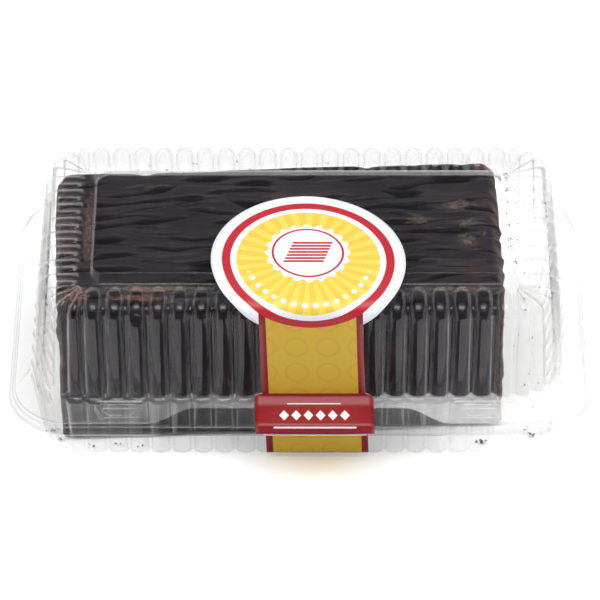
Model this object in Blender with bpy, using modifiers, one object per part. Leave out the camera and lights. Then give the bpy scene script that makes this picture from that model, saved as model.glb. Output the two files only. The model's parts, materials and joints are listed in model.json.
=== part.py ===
"""A loaf of seven layer cake in the clear hinged pack it is sold in.

The pack is two thin fluted shells, a tray and a domed lid, joined along the back edge of
their flanges. An uncut chocolate coated loaf fills it. A paper label runs over the lid and
down its front, and a second piece of it closes the front of the tray.

Metres, +X right, +Y back, +Z up. The origin is under the middle of the pack, on the table.
"""

import math

import bmesh
import bpy
from mathutils import Matrix, Vector

# Overall sizes of the closed pack
FLANGE_WIDTH = 0.2408
HINGE_Y = 0.0737
TRAY_FRONT_Y = -0.0730
SEAM_Z = 0.0310
PACK_HEIGHT = 0.0800
SHEET = 0.0008
GAP = 0.0003
LID_FLANGE_TOP = SEAM_Z + GAP / 2 + SHEET
TRAY_FLANGE_UNDERSIDE = SEAM_Z - GAP / 2 - SHEET

# The fluted walls stand round a rectangle that joins the centres of their four corners
CORE_HALF_X = 0.0886
CORE_HALF_Y = 0.0354
LONG_FLUTES = 20
SHORT_FLUTES = 8
CORNER_FLUTES = 4
FLUTE_STEPS = ((0.0, 1.0), (0.26, 0.0), (0.74, 0.0))

# Wall profiles, each point as (distance out, height): first on a flute, then in a groove
TRAY_FLOOR_EDGE = ((0.0180, 0.0), (0.0170, 0.0))
TRAY_WALL_FOOT = ((0.0210, 0.0022), (0.0190, 0.0022))
TRAY_WALL_TOP = ((0.0226, 0.0270), (0.0206, 0.0270))
TRAY_LEDGE = 0.0236
RIM_Z = 0.0764
LID_RIM_START = ((0.0035, RIM_Z + 0.0004), (0.0030, RIM_Z - 0.0006))
LID_RIM_END = ((0.0118, RIM_Z - 0.0002), (0.0105, RIM_Z - 0.0020))
LID_SHOULDER = ((0.0150, 0.0712), (0.0128, 0.0700))
LID_WALL_FOOT = ((0.0194, 0.0360), (0.0178, 0.0360))
LID_LEDGE = 0.0214

# The walls lean differently on each side. For each wall stand here the heights of its foot and
# its top, then the factors on the distance out there, for the sides, the front and the back
TRAY_REACH = ((0.0, TRAY_FLANGE_UNDERSIDE), ((0.92, 1.03), (1.0, 1.0), (1.25, 1.36)))
LID_REACH = ((LID_FLANGE_TOP, RIM_Z), ((1.03, 1.30), (1.0, 1.16), (1.42, 1.42)))

# Flanges: the tray's has a skirt that turns down, and fades out towards the hinge
TRAY_CORNER = 0.0254
SKIRT_RUN = 0.0023
SKIRT_DROP = 0.0030
SKIRT_PROUD = 0.0007
LID_INSET = 0.0026
LID_CORNER = 0.0228
NOTCH_Y = -0.0612
NOTCH_FLAT = 0.043
NOTCH_END = 0.062

# Raised panel of the lid
PANEL_HALF_X = 0.0843
PANEL_FRONT_Y = -0.0344
PANEL_BACK_Y = 0.0336
PANEL_CORNER = 0.0058
PANEL_EDGE = 0.0010
PANEL_FRONT_EDGE = 0.0031

# Snap locks near the front corners of the lid flange
LOCK_X = 0.0740
LOCK_BACK_Y = -0.0576
LOCK_DEPTH = 0.0124
LOCK_BACK_WIDTH = 0.0204
LOCK_FRONT_WIDTH = 0.0144
LOCK_RISE = 0.0016
LOCK_SLOPE = 0.0009

# The loaf, which lies a little askew
CAKE_X = -0.0084
CAKE_Y = 0.0004
CAKE_TURN = 0.0454
CAKE_HALF_LENGTH = 0.0933
CAKE_HALF_WIDTH = 0.0439
CAKE_END_SLANT = 0.025
CAKE_TOP = 0.0736
CAKE_FRONT_LEAN = 0.0010
CAKE_BACK_LEAN = 0.0003
CAKE_FRONT_EDGE = 0.0070
CAKE_BACK_EDGE = 0.0025
CAKE_FOOT = 0.0015
CAKE_ENDS = ((0.0, 0.0058), (0.0012, 0.0030), (0.0036, 0.0009), (0.0075, 0.0))
CAKE_SECTIONS = 26
COMB_RIDGES = 11
COMB_DEPTH = 0.0012
RAGGED = 0.0007
SLUMP = 0.0006

# The label: a disc on the panel, a strip down the front and a wider tag over the ledge
PAPER = 0.0004
LABEL_X = 0.0025
LABEL_LEAN = 0.032
DISC_BACK_Y = 0.0156
DISC_RADIUS = 0.0400
DISC_ROWS = 22
STRIP_HALF = 0.02125
TAG_HALF = 0.0244
TAG_TOP_Z = 0.0350
TAG_CORNER = 0.0030
STRIP_MEETS_TRAY_Z = 0.0180

CLEAR_PET = (0.90, 0.93, 0.95)
DARK_CHOCOLATE = (0.022, 0.014, 0.011)
YELLOW_PAPER = (0.72, 0.50, 0.07)


def clear_scene():
    """Removes what the scene holds."""
    for thing in list(bpy.data.objects):
        bpy.data.objects.remove(thing, do_unlink=True)


def new_collection(name):
    """Adds a collection to the scene."""
    collection = bpy.data.collections.new(name)
    bpy.context.scene.collection.children.link(collection)
    return collection


def finish_material(name, colour, roughness, see_through=0.0):
    """A Principled material of one colour."""
    material = bpy.data.materials.new(name)
    material.use_nodes = True
    shader = material.node_tree.nodes["Principled BSDF"]
    shader.inputs["Base Color"].default_value = (*colour, 1.0)
    shader.inputs["Roughness"].default_value = roughness
    shader.inputs["Metallic"].default_value = 0.0
    shader.inputs["Transmission Weight"].default_value = see_through
    return material


def mesh_object(name, bm, collection, material):
    """Turns a bmesh into a named object with one material."""
    mesh = bpy.data.meshes.new(name)
    bm.to_mesh(mesh)
    bm.free()
    mesh.materials.append(material)
    thing = bpy.data.objects.new(name, mesh)
    collection.objects.link(thing)
    mesh.shade_smooth()
    mesh.set_sharp_from_angle(angle=math.radians(35))
    return thing


def solidify(thing, thickness, offset):
    """Gives an open surface its thickness."""
    modifier = thing.modifiers.new("Thickness", "SOLIDIFY")
    modifier.thickness = thickness
    modifier.offset = offset
    modifier.use_even_offset = True


def flute_stations():
    """Points round the pack, anticlockwise from the front left corner.

    Each is (u, v, direction, groove): its place on the core rectangle from -1 to 1, the way
    out from it, and how deep in a groove between two flutes it lies, from 0 to 1.
    """
    sides = (
        ((-1, -1), (1, -1), -90, LONG_FLUTES),
        ((1, -1), (1, 1), 0, SHORT_FLUTES),
        ((1, 1), (-1, 1), 90, LONG_FLUTES),
        ((-1, 1), (-1, -1), 180, SHORT_FLUTES),
    )
    stations = []
    for start, end, heading, flutes in sides:
        for flute in range(flutes):
            for step, groove in FLUTE_STEPS:
                along = (flute + step) / flutes
                u = start[0] + (end[0] - start[0]) * along
                v = start[1] + (end[1] - start[1]) * along
                angle = math.radians(heading)
                stations.append((u, v, (math.cos(angle), math.sin(angle)), groove))
        for flute in range(CORNER_FLUTES):
            for step, groove in FLUTE_STEPS:
                angle = math.radians(heading + 90 * (flute + step) / CORNER_FLUTES)
                stations.append((*end, (math.cos(angle), math.sin(angle)), groove))
    return stations


def factors_at(z, reach):
    """Factors on a wall's distance out at a height: at the sides, in front and behind."""
    (foot_z, top_z), pairs = reach
    share = min(max((z - foot_z) / (top_z - foot_z), 0.0), 1.0)
    return [low + (high - low) * share for low, high in pairs]


def wall_ring(stations, profile, reach):
    """A ring of the fluted wall, from its profile points on a flute and in a groove."""
    (crest_out, crest_z), (groove_out, groove_z) = profile
    points = []
    for u, v, direction, groove in stations:
        out = crest_out + (groove_out - crest_out) * groove
        z = crest_z + (groove_z - crest_z) * groove
        sides, front, back = factors_at(z, reach)
        x = u * CORE_HALF_X + direction[0] * out * sides
        y = v * CORE_HALF_Y + direction[1] * out * (back if direction[1] > 0 else front)
        points.append(Vector((x, y, z)))
    return points


def ledge_ring(stations, out, z, reach):
    """A plain ring round the foot of a wall, where the flutes have run out."""
    return wall_ring(stations, ((out, z), (out, z)), reach)


def front_place(profile, reach):
    """Distance out and height of a profile's point on a flute, at the front of the pack."""
    out, z = profile[0]
    return out * factors_at(z, reach)[1], z


def outline_ring(stations, half_x, front_y, back_y, corner, z):
    """A rounded rectangle with one point for each station."""
    centre_y = (front_y + back_y) / 2
    inner_x = half_x - corner
    inner_y = (back_y - front_y) / 2 - corner
    points = []
    for u, v, direction, _ in stations:
        x = u * inner_x + direction[0] * corner
        y = centre_y + v * inner_y + direction[1] * corner
        points.append(Vector((x, y, z)))
    return points


def skirt_ring(stations):
    """The lower edge of the tray flange's skirt, level with the flange at the hinge."""
    half_x = FLANGE_WIDTH / 2 - SKIRT_PROUD
    front_y = TRAY_FRONT_Y + SKIRT_PROUD
    points = outline_ring(stations, half_x, front_y, HINGE_Y, TRAY_CORNER, TRAY_FLANGE_UNDERSIDE)
    for point, station in zip(points, stations):
        towards_hinge = max(station[2][1], 0.0)
        point.z -= SKIRT_DROP * (1 - towards_hinge)
    return points


def notch_y(x, front_y):
    """Front edge of the lid flange, with its wide thumb notch."""
    along = (abs(x) - NOTCH_FLAT) / (NOTCH_END - NOTCH_FLAT)
    along = min(max(along, 0.0), 1.0)
    ease = along * along * (3 - 2 * along)
    return NOTCH_Y + (front_y - NOTCH_Y) * ease


def lid_outline_ring(stations):
    """The lid flange's edge: it stops short of the tray's skirt, and is notched in front."""
    front_y = TRAY_FRONT_Y + LID_INSET
    half_x = FLANGE_WIDTH / 2 - LID_INSET
    points = outline_ring(stations, half_x, front_y, HINGE_Y, LID_CORNER, LID_FLANGE_TOP)
    for point, station in zip(points, stations):
        on_front = station[1] == -1 and station[2][1] < -0.999
        if on_front:
            point.y = notch_y(point.x, front_y)
    return points


def loft(rings):
    """Skins a list of rings, with a flat cap on the first one."""
    bm = bmesh.new()
    rows = [[bm.verts.new(point) for point in ring] for ring in rings]
    count = len(rows[0])
    for inner, outer in zip(rows, rows[1:]):
        for i in range(count):
            j = (i + 1) % count
            bm.faces.new((inner[i], outer[i], outer[j], inner[j]))
    bm.faces.new(rows[0])
    return bm


def make_tray(collection, stations, material):
    """The fluted tray: floor, walls that lean out, a flat ledge and the wide flange."""
    bend_x = FLANGE_WIDTH / 2 - SKIRT_RUN
    bend_front = TRAY_FRONT_Y + SKIRT_RUN
    bend_back = HINGE_Y - SKIRT_RUN
    bend_corner = TRAY_CORNER - SKIRT_RUN
    rings = [
        wall_ring(stations, TRAY_FLOOR_EDGE, TRAY_REACH),
        wall_ring(stations, TRAY_WALL_FOOT, TRAY_REACH),
        wall_ring(stations, TRAY_WALL_TOP, TRAY_REACH),
        ledge_ring(stations, TRAY_LEDGE, TRAY_FLANGE_UNDERSIDE, TRAY_REACH),
        outline_ring(stations, bend_x, bend_front, bend_back, bend_corner, TRAY_FLANGE_UNDERSIDE),
        skirt_ring(stations),
    ]
    bm = loft(rings)
    bmesh.ops.reverse_faces(bm, faces=bm.faces[:])
    tray = mesh_object("tray", bm, collection, material)
    solidify(tray, SHEET, -1)
    return tray


def make_lid(collection, stations, material):
    """The domed lid: raised panel, fluted rim, shoulder and walls, and its flange."""
    top_x = PANEL_HALF_X - PANEL_EDGE
    top_front = PANEL_FRONT_Y + PANEL_FRONT_EDGE
    top_back = PANEL_BACK_Y - PANEL_EDGE
    top_corner = PANEL_CORNER - PANEL_EDGE
    rings = [
        outline_ring(stations, top_x, top_front, top_back, top_corner, PACK_HEIGHT),
        outline_ring(stations, PANEL_HALF_X, PANEL_FRONT_Y, PANEL_BACK_Y, PANEL_CORNER, RIM_Z),
        wall_ring(stations, LID_RIM_START, LID_REACH),
        wall_ring(stations, LID_RIM_END, LID_REACH),
        wall_ring(stations, LID_SHOULDER, LID_REACH),
        wall_ring(stations, LID_WALL_FOOT, LID_REACH),
        ledge_ring(stations, LID_LEDGE, LID_FLANGE_TOP, LID_REACH),
        lid_outline_ring(stations),
    ]
    lid = mesh_object("lid", loft(rings), collection, material)
    solidify(lid, SHEET, -1)
    return lid


def add_locks(lid, cutters):
    """Joins the two snap locks, low blocks that narrow towards the front, to the lid flange."""
    bm = bmesh.new()
    low = LID_FLANGE_TOP - SHEET / 2
    high = LID_FLANGE_TOP + LOCK_RISE
    for side in (-1, 1):
        made = bmesh.ops.create_cube(bm, size=1.0)
        for vert in made["verts"]:
            at_front = vert.co.y < 0
            width = LOCK_FRONT_WIDTH if at_front else LOCK_BACK_WIDTH
            inset = LOCK_SLOPE if vert.co.z > 0 else 0.0
            x = side * LOCK_X + math.copysign(width / 2 - inset, vert.co.x)
            y = LOCK_BACK_Y - (LOCK_DEPTH - inset if at_front else inset)
            vert.co = Vector((x, y, high if vert.co.z > 0 else low))
    mesh = bpy.data.meshes.new("lock_blocks")
    bm.to_mesh(mesh)
    bm.free()
    blocks = bpy.data.objects.new("lock_blocks", mesh)
    cutters.objects.link(blocks)
    blocks.hide_render = True
    blocks.display_type = "WIRE"
    union = lid.modifiers.new("Locks", "BOOLEAN")
    union.operation = "UNION"
    union.solver = "EXACT"
    union.object = blocks


def comb_height(along, across):
    """Height of the combed icing above its grooves, from 0 to 1.

    along is the distance in X, across runs from 0 to 1 over the top of the loaf.
    """
    drift = 0.22 * math.sin(along * 41.0 + across * 5.0) + 0.12 * math.sin(along * 97.0 + 2.0)
    wave = 0.5 - 0.5 * math.cos(2 * math.pi * (across * COMB_RIDGES + drift))
    return wave ** 0.7


def rounded_edge(centre_y, top, radius, facing):
    """Points of a rounded top edge, from the side face up. facing is -1 in front, 1 behind."""
    points = []
    for turn in (0.0, 0.33, 0.67):
        angle = math.radians(90 * turn)
        y = centre_y + facing * radius * math.cos(angle)
        points.append((y, top - radius + radius * math.sin(angle)))
    return points


def cake_profile(along, shrink):
    """One cross section of the loaf at a place along it, as points from the bottom back."""
    floor = SHEET + GAP
    front = shrink - CAKE_HALF_WIDTH
    back = CAKE_HALF_WIDTH - shrink
    top = CAKE_TOP - shrink
    slump = SLUMP * math.sin(along * 33.0 + 1.0)
    front_edge_y = front + CAKE_FRONT_LEAN + CAKE_FRONT_EDGE
    back_edge_y = back - CAKE_BACK_LEAN - CAKE_BACK_EDGE
    points = [
        (back - CAKE_FOOT, floor),
        (front + CAKE_FOOT, floor),
        (front, floor + CAKE_FOOT),
        (front + slump, top / 2),
    ]
    points += rounded_edge(front_edge_y, top, CAKE_FRONT_EDGE, -1)
    steps = COMB_RIDGES * 2
    for step in range(steps + 1):
        across = step / steps
        y = front_edge_y + (back_edge_y - front_edge_y) * across
        points.append((y, top - COMB_DEPTH * (1 - comb_height(along, across))))
    points += reversed(rounded_edge(back_edge_y, top, CAKE_BACK_EDGE, 1))
    points.append((back - slump, top / 2))
    points.append((back, floor + CAKE_FOOT))
    return points


def make_cake(collection, material):
    """The uncut loaf: sections along its length, with rounded and slightly ragged ends."""
    half = CAKE_HALF_LENGTH
    rounded = CAKE_ENDS[-1][0]
    straight = 2 * (half - rounded)
    inner = CAKE_SECTIONS - 2 * len(CAKE_ENDS)
    places = [(step - half, shrink) for step, shrink in CAKE_ENDS]
    for i in range(1, inner + 1):
        places.append((rounded - half + straight * i / (inner + 1), 0.0))
    places += [(half - step, shrink) for step, shrink in reversed(CAKE_ENDS)]
    askew = Matrix.Translation((CAKE_X, CAKE_Y, 0.0)) @ Matrix.Rotation(CAKE_TURN, 4, "Z")
    rings = []
    for along, shrink in places:
        ring = []
        slant = CAKE_END_SLANT * max(along / half, 0.0)
        for index, (y, z) in enumerate(cake_profile(along, shrink)):
            ragged = RAGGED * abs(math.sin(index * 2.4)) if shrink > 0 else 0.0
            ring.append(askew @ Vector((along - math.copysign(ragged, along) + slant * y, y, z)))
        rings.append(ring)
    bm = loft(rings)
    bm.verts.ensure_lookup_table()
    count = len(rings[0])
    bm.faces.new([bm.verts[-i] for i in range(1, count + 1)])
    bmesh.ops.recalc_face_normals(bm, faces=bm.faces[:])
    return mesh_object("cake", bm, collection, material)


def label_path():
    """The line in Y and Z that the lid label follows, from its back edge to the skirt's edge."""
    rim_out, rim_z = front_place(LID_RIM_END, LID_REACH)
    shoulder_out, shoulder_z = front_place(LID_SHOULDER, LID_REACH)
    foot_out, foot_z = front_place(LID_WALL_FOOT, LID_REACH)
    wall = -CORE_HALF_Y - GAP
    bend_y = TRAY_FRONT_Y + SKIRT_RUN - GAP
    return [
        (DISC_BACK_Y, PACK_HEIGHT + GAP),
        (PANEL_FRONT_Y + PANEL_FRONT_EDGE, PACK_HEIGHT + GAP),
        (wall - rim_out, rim_z + 2 * GAP),
        (wall - shoulder_out + 0.0008, (rim_z + shoulder_z) / 2 + 0.0006),
        (wall - shoulder_out, shoulder_z),
        (wall - foot_out, foot_z),
        (wall - LID_LEDGE, LID_FLANGE_TOP + 0.0018),
        (wall - LID_LEDGE - 0.0020, LID_FLANGE_TOP + GAP),
        (NOTCH_Y, LID_FLANGE_TOP + GAP),
        (bend_y, SEAM_Z + GAP),
        (TRAY_FRONT_Y - GAP, SEAM_Z + GAP - SKIRT_DROP),
    ]


def path_lengths(path):
    """Distance along a path at each of its points."""
    lengths = [0.0]
    for (y0, z0), (y1, z1) in zip(path, path[1:]):
        lengths.append(lengths[-1] + math.hypot(y1 - y0, z1 - z0))
    return lengths


def along_path(path, lengths, distance):
    """The point of a path at a distance from its start."""
    for i in range(1, len(path)):
        if distance <= lengths[i]:
            share = (distance - lengths[i - 1]) / (lengths[i] - lengths[i - 1])
            y = path[i - 1][0] + (path[i][0] - path[i - 1][0]) * share
            z = path[i - 1][1] + (path[i][1] - path[i - 1][1]) * share
            return y, z
    return path[-1]


def distance_at_height(path, lengths, height):
    """Distance along the path where it comes down to a height on the lid's front wall."""
    for i in range(1, len(path)):
        above = path[i - 1][1]
        below = path[i][1]
        if above > height >= below:
            return lengths[i - 1] + (lengths[i] - lengths[i - 1]) * (above - height) / (above - below)
    return lengths[-1]


def label_half_width(distance, tag_start):
    """Half the label's width: a disc that runs into a strip, then into a wider tag."""
    half = STRIP_HALF if distance > DISC_RADIUS else 0.0
    if distance < 2 * DISC_RADIUS:
        offset = distance - DISC_RADIUS
        half = max(half, math.sqrt(max(DISC_RADIUS ** 2 - offset ** 2, 0.0)))
    if distance >= tag_start:
        into = min(distance - tag_start, TAG_CORNER)
        rise = math.sqrt(TAG_CORNER ** 2 - (TAG_CORNER - into) ** 2)
        half = max(half, TAG_HALF - TAG_CORNER + rise)
    return half


def paper_strip(name, rows, collection, material):
    """A sheet of paper from rows of (middle x, half width, y, z), with its thickness."""
    bm = bmesh.new()
    pairs = []
    for middle, half, y, z in rows:
        left = bm.verts.new((middle - half, y, z))
        right = bm.verts.new((middle + half, y, z))
        pairs.append((left, right))
    for (left, right), (next_left, next_right) in zip(pairs, pairs[1:]):
        bm.faces.new((left, next_left, next_right, right))
    sheet = mesh_object(name, bm, collection, material)
    solidify(sheet, PAPER, 1)
    return sheet


def make_lid_label(collection, material):
    """Disc, strip and tag in one sheet of paper that bridges the flutes."""
    path = label_path()
    lengths = path_lengths(path)
    tag_start = distance_at_height(path, lengths, TAG_TOP_Z)
    meets_strip = DISC_RADIUS + math.sqrt(DISC_RADIUS ** 2 - STRIP_HALF ** 2)
    places = list(lengths[1:])
    for i in range(DISC_ROWS):
        place = DISC_RADIUS * (1 - math.cos(math.pi * (i + 0.5) / DISC_ROWS))
        if place < meets_strip:
            places.append(place)
    places.append(meets_strip)
    for share in (0.02, 0.3, 1.0):
        places.append(tag_start + TAG_CORNER * share)
    rows = []
    for place in sorted(places):
        y, z = along_path(path, lengths, place)
        middle = LABEL_X + LABEL_LEAN * place
        rows.append((middle, label_half_width(place, tag_start), y, z))
    paper_strip("label_lid", rows, collection, material)
    return lengths[-1]


def make_tray_label(collection, material, lid_label_length):
    """The last piece of the label: from under the skirt's edge to the tray's wall and foot."""
    foot_out, foot_z = front_place(TRAY_WALL_FOOT, TRAY_REACH)
    top_out, top_z = front_place(TRAY_WALL_TOP, TRAY_REACH)
    share = (STRIP_MEETS_TRAY_Z - foot_z) / (top_z - foot_z)
    meets_out = foot_out + (top_out - foot_out) * share
    wall = -CORE_HALF_Y - 2 * GAP
    path = [
        (TRAY_FRONT_Y - GAP, SEAM_Z - SKIRT_DROP - 2 * GAP),
        (TRAY_FRONT_Y + GAP, SEAM_Z - SKIRT_DROP - 5 * GAP),
        (wall - meets_out, STRIP_MEETS_TRAY_Z),
        (wall - foot_out, foot_z),
        (wall - foot_out + 0.0012, 0.0008),
    ]
    lengths = path_lengths(path)
    rows = []
    for (y, z), length in zip(path, lengths):
        middle = LABEL_X + LABEL_LEAN * (lid_label_length + length)
        rows.append((middle, STRIP_HALF, y, z))
    paper_strip("label_tray", rows, collection, material)


def main():
    """Builds the pack."""
    clear_scene()
    pack = new_collection("seven_layer_cake")
    cutters = new_collection("joined_blocks")
    stations = flute_stations()
    clear = finish_material("clear_pet", CLEAR_PET, 0.08, 0.9)
    chocolate = finish_material("dark_chocolate", DARK_CHOCOLATE, 0.25)
    paper = finish_material("coated_paper", YELLOW_PAPER, 0.35)
    make_tray(pack, stations, clear)
    lid = make_lid(pack, stations, clear)
    add_locks(lid, cutters)
    make_cake(pack, chocolate)
    label_length = make_lid_label(pack, paper)
    make_tray_label(pack, paper, label_length)


main()
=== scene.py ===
# %% [markdown]
# # A seven layer cake in its clear pack
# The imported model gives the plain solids: a tray, a lid, a loaf and two pieces of label. This
# lesson dresses them. It makes the clear shells again with all their fine flutes, combs the icing
# of the loaf, prints the label, and lights the pack as a shop photograph would.
# %% Load the frame
import json
import math
import random

import bmesh
import bpy
import numpy as np
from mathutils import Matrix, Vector, noise

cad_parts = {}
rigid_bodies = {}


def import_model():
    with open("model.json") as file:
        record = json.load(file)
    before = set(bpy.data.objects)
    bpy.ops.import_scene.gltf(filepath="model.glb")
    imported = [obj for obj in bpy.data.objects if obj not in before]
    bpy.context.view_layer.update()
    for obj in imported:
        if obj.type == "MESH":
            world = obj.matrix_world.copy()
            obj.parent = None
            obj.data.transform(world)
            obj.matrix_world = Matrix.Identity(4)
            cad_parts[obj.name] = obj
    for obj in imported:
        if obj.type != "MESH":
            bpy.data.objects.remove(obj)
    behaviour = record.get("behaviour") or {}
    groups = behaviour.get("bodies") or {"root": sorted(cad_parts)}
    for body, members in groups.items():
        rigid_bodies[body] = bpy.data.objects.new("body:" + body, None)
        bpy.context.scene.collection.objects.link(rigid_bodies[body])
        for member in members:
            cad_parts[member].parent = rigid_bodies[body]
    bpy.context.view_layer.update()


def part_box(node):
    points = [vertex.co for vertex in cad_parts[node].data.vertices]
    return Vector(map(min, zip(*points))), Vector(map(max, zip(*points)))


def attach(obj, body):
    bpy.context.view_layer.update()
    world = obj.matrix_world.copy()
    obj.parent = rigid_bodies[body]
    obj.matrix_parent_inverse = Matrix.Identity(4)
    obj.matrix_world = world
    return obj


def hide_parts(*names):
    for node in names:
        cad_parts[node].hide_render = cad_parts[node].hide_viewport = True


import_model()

# %% [markdown]
# ## Working units
# Everything below is written in millimetres, because that is how a pack is drawn, and becomes
# metres only when a mesh is made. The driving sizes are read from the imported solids.
# %% Read the sizes of the pack
MM = 0.001
MODEL_SEED = 7
tray_low, tray_high = [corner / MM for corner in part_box("tray")]
lid_low, lid_high = [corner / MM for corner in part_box("lid")]
cake_low, cake_high = [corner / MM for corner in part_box("cake")]
tag_low, tag_high = [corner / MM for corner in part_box("label_lid")]
FLANGE_HALF_X = tray_high.x
FRONT_Y = tray_low.y
HINGE_Y = lid_high.y
PACK_HEIGHT = lid_high.z
print(f"pack {2 * FLANGE_HALF_X:.1f} x {HINGE_Y - FRONT_Y:.1f} x {PACK_HEIGHT:.1f} mm")


# %% [markdown]
# ## Colours and nodes
# Colours are written as sRGB hex, as a paint chart gives them, and one function makes them linear.
# Another small function adds a shader node together with its settings and its links. Sums are
# Math nodes, and take their numbers or the nodes before them in a tuple.
# %% Colour and node helpers
def linear(hex_colour):
    """Linear RGBA from an sRGB hex string."""
    channels = [int(hex_colour[i:i + 2], 16) / 255 for i in (1, 3, 5)]
    return [c / 12.92 if c <= 0.04045 else ((c + 0.055) / 1.055) ** 2.4 for c in channels] + [1.0]


def add_node(tree, kind, inputs=(), **settings):
    """Adds a shader node. inputs maps an input's name or number to a number, a socket or a node.

    A plain tuple fills the inputs from the first on. A node stands for its first live output.
    """
    node = tree.nodes.new("ShaderNode" + kind)
    for name, value in settings.items():
        setattr(node, name, value)
    for name, value in inputs.items() if isinstance(inputs, dict) else enumerate(inputs):
        if isinstance(value, bpy.types.Node):
            value = next(socket for socket in value.outputs if socket.enabled)
        if isinstance(value, bpy.types.NodeSocket):
            tree.links.new(value, node.inputs[name])
        else:
            node.inputs[name].default_value = value
    return node


def new_material(name):
    """A material with an empty node tree, and the tree."""
    material = bpy.data.materials.new(name)
    material.use_nodes = True
    material.node_tree.nodes.clear()
    return material, material.node_tree


print("chart white:", linear("#ffffff"))


# %% [markdown]
# ## Meshes from grids
# A thermoformed shell, a combed icing and a bent label are all sheets: rows of points that belong
# together. One function skins such a grid, and can close it into a ring.
# %% Grid helper
def grid_object(name, points, closed=False, cap_first=False, cap_last=False):
    """A smooth mesh object over points in mm, an array of rows by columns by 3."""
    rows, columns = points.shape[:2]
    index = np.arange(rows * columns).reshape(rows, columns)
    if closed:
        index = np.hstack([index, index[:, :1]])
    corners = (index[:-1, :-1], index[1:, :-1], index[1:, 1:], index[:-1, 1:])
    faces = np.stack(corners, axis=-1).reshape(-1, 4).tolist()
    if cap_first:
        faces.append(list(range(columns)))
    if cap_last:
        faces.append(list(range(rows * columns - 1, (rows - 1) * columns - 1, -1)))
    mesh = bpy.data.meshes.new(name)
    mesh.from_pydata((points.reshape(-1, 3) * MM).tolist(), [], faces)
    mesh.shade_smooth()
    thing = bpy.data.objects.new(name, mesh)
    bpy.context.scene.collection.objects.link(thing)
    return thing


def give_thickness(thing, thickness, offset=-1.0, **slots):
    """Turns a sheet into a solid of a thickness in mm."""
    solid = thing.modifiers.new("Thickness", "SOLIDIFY")
    solid.thickness = thickness * MM
    solid.offset = offset
    solid.use_even_offset = False
    for name, value in slots.items():
        setattr(solid, name, value)


def keep_value(thing, name, values):
    """Keeps a number with each point of a grid, for a material to read."""
    kept = thing.data.attributes.new(name, "FLOAT", "POINT")
    kept.data.foreach_set("value", np.asarray(values, dtype=np.float32).ravel())


print("grids are skinned with", grid_object.__name__)

# %% [markdown]
# ## The fluted sheet
# Tray and lid are pressed from clear PET sheet over a mould, and the flutes make the thin walls
# stiff. Every flute is a half round rib. Round the pack stand 72 of them: 20 on each long side,
# 8 on each end and 4 round each corner. Seen from above they stand on a rectangle that joins the
# centres of the four corners, so a place is a point of that rectangle plus a distance outwards.
# %% Places round the pack
CORE_HALF_X = 88.6
CORE_HALF_Y = 35.4
LONG_FLUTES = 20
SHORT_FLUTES = 8
CORNER_FLUTES = 4
FLUTE_PITCH = 2 * CORE_HALF_X / LONG_FLUTES
RIB_SAMPLES = (0.0, 0.25, 0.48, 0.67, 0.82, 0.93, 1.0, 1.14, 1.5)


def flute_columns():
    """One row for each column round the pack.

    Each holds the middle of its flute (core x, core y, angle), the way from there to the flute's
    end, and the sample across it: up to 1 on the rib, from 1 to 2 in the groove.
    """
    samples = [-2.0] + [-s for s in reversed(RIB_SAMPLES[1:])] + list(RIB_SAMPLES)
    corners = ((-1, -1), (1, -1), (1, 1), (-1, 1))
    columns = []
    for side in range(4):
        start = np.array(corners[side]) * (CORE_HALF_X, CORE_HALF_Y)
        end = np.array(corners[(side + 1) % 4]) * (CORE_HALF_X, CORE_HALF_Y)
        heading = math.radians(90 * side - 90)
        flutes = SHORT_FLUTES if side % 2 else LONG_FLUTES
        half = (end - start) / flutes / 2
        for flute in range(flutes):
            middle = start + half * (2 * flute + 1)
            columns += [(*middle, heading, *half, 0.0, s) for s in samples]
        turn = math.radians(90) / CORNER_FLUTES / 2
        for flute in range(CORNER_FLUTES):
            angle = heading + turn * (2 * flute + 1)
            columns += [(*end, angle, 0.0, 0.0, turn, s) for s in samples]
    return np.array(columns)


COLUMNS = flute_columns()
SAMPLE = COLUMNS[:, 6]
print("columns round the pack:", len(COLUMNS), "- flute pitch", round(FLUTE_PITCH, 2), "mm")


def places(share):
    """Core points and outward directions of all columns, with ribs over a share of the pitch."""
    size = np.abs(SAMPLE)
    across = np.minimum(size, 1.0) * share + np.maximum(size - 1.0, 0.0) * (1 - share)
    moved = COLUMNS[:, 0:3] + COLUMNS[:, 3:6] * (across * np.sign(SAMPLE))[:, None]
    outward = np.stack([np.cos(moved[:, 2]), np.sin(moved[:, 2])], axis=1)
    return moved[:, 0:2], outward


# %% [markdown]
# A rib's section is a little fuller than a half circle, because the sheet is drawn tight over the
# mould. At its inner end each rib closes in a quarter dome, so near the end the section is read
# at the distance from the dome's centre. The ribs grow wider down the wall, so that the pressed
# sheet comes off its mould.
# %% Ribs and rings
RIB_SHARE = 0.84
RIB_SHARE_FOOT = 0.90
VALLEY_DIP = 0.10


def rib_height(ahead=0.0):
    """Height of a rib, 0 to 1, over all columns. ahead is the distance beyond its dome's centre.

    Between two ribs the sheet dips a little further, in a shallow valley.
    """
    distance = np.hypot(SAMPLE, ahead)
    valley = np.clip(np.abs(SAMPLE) - 1.0, 0.0, None) * (1.0 - min(ahead, 1.0))
    return np.clip(1.0 - distance ** 2.1, 0.0, None) ** 0.62 - VALLEY_DIP * valley


def side_reach(outward, z, heights, reach):
    """How much further the wall stands out at a height, for each column and each axis.

    reach gives the factors for the sides, the front and the back at the two heights.
    """
    side, front, back = [np.interp(z, heights, pair) for pair in reach]
    return np.column_stack([side, np.where(outward[:, 1] > 0, back, front)])


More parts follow.
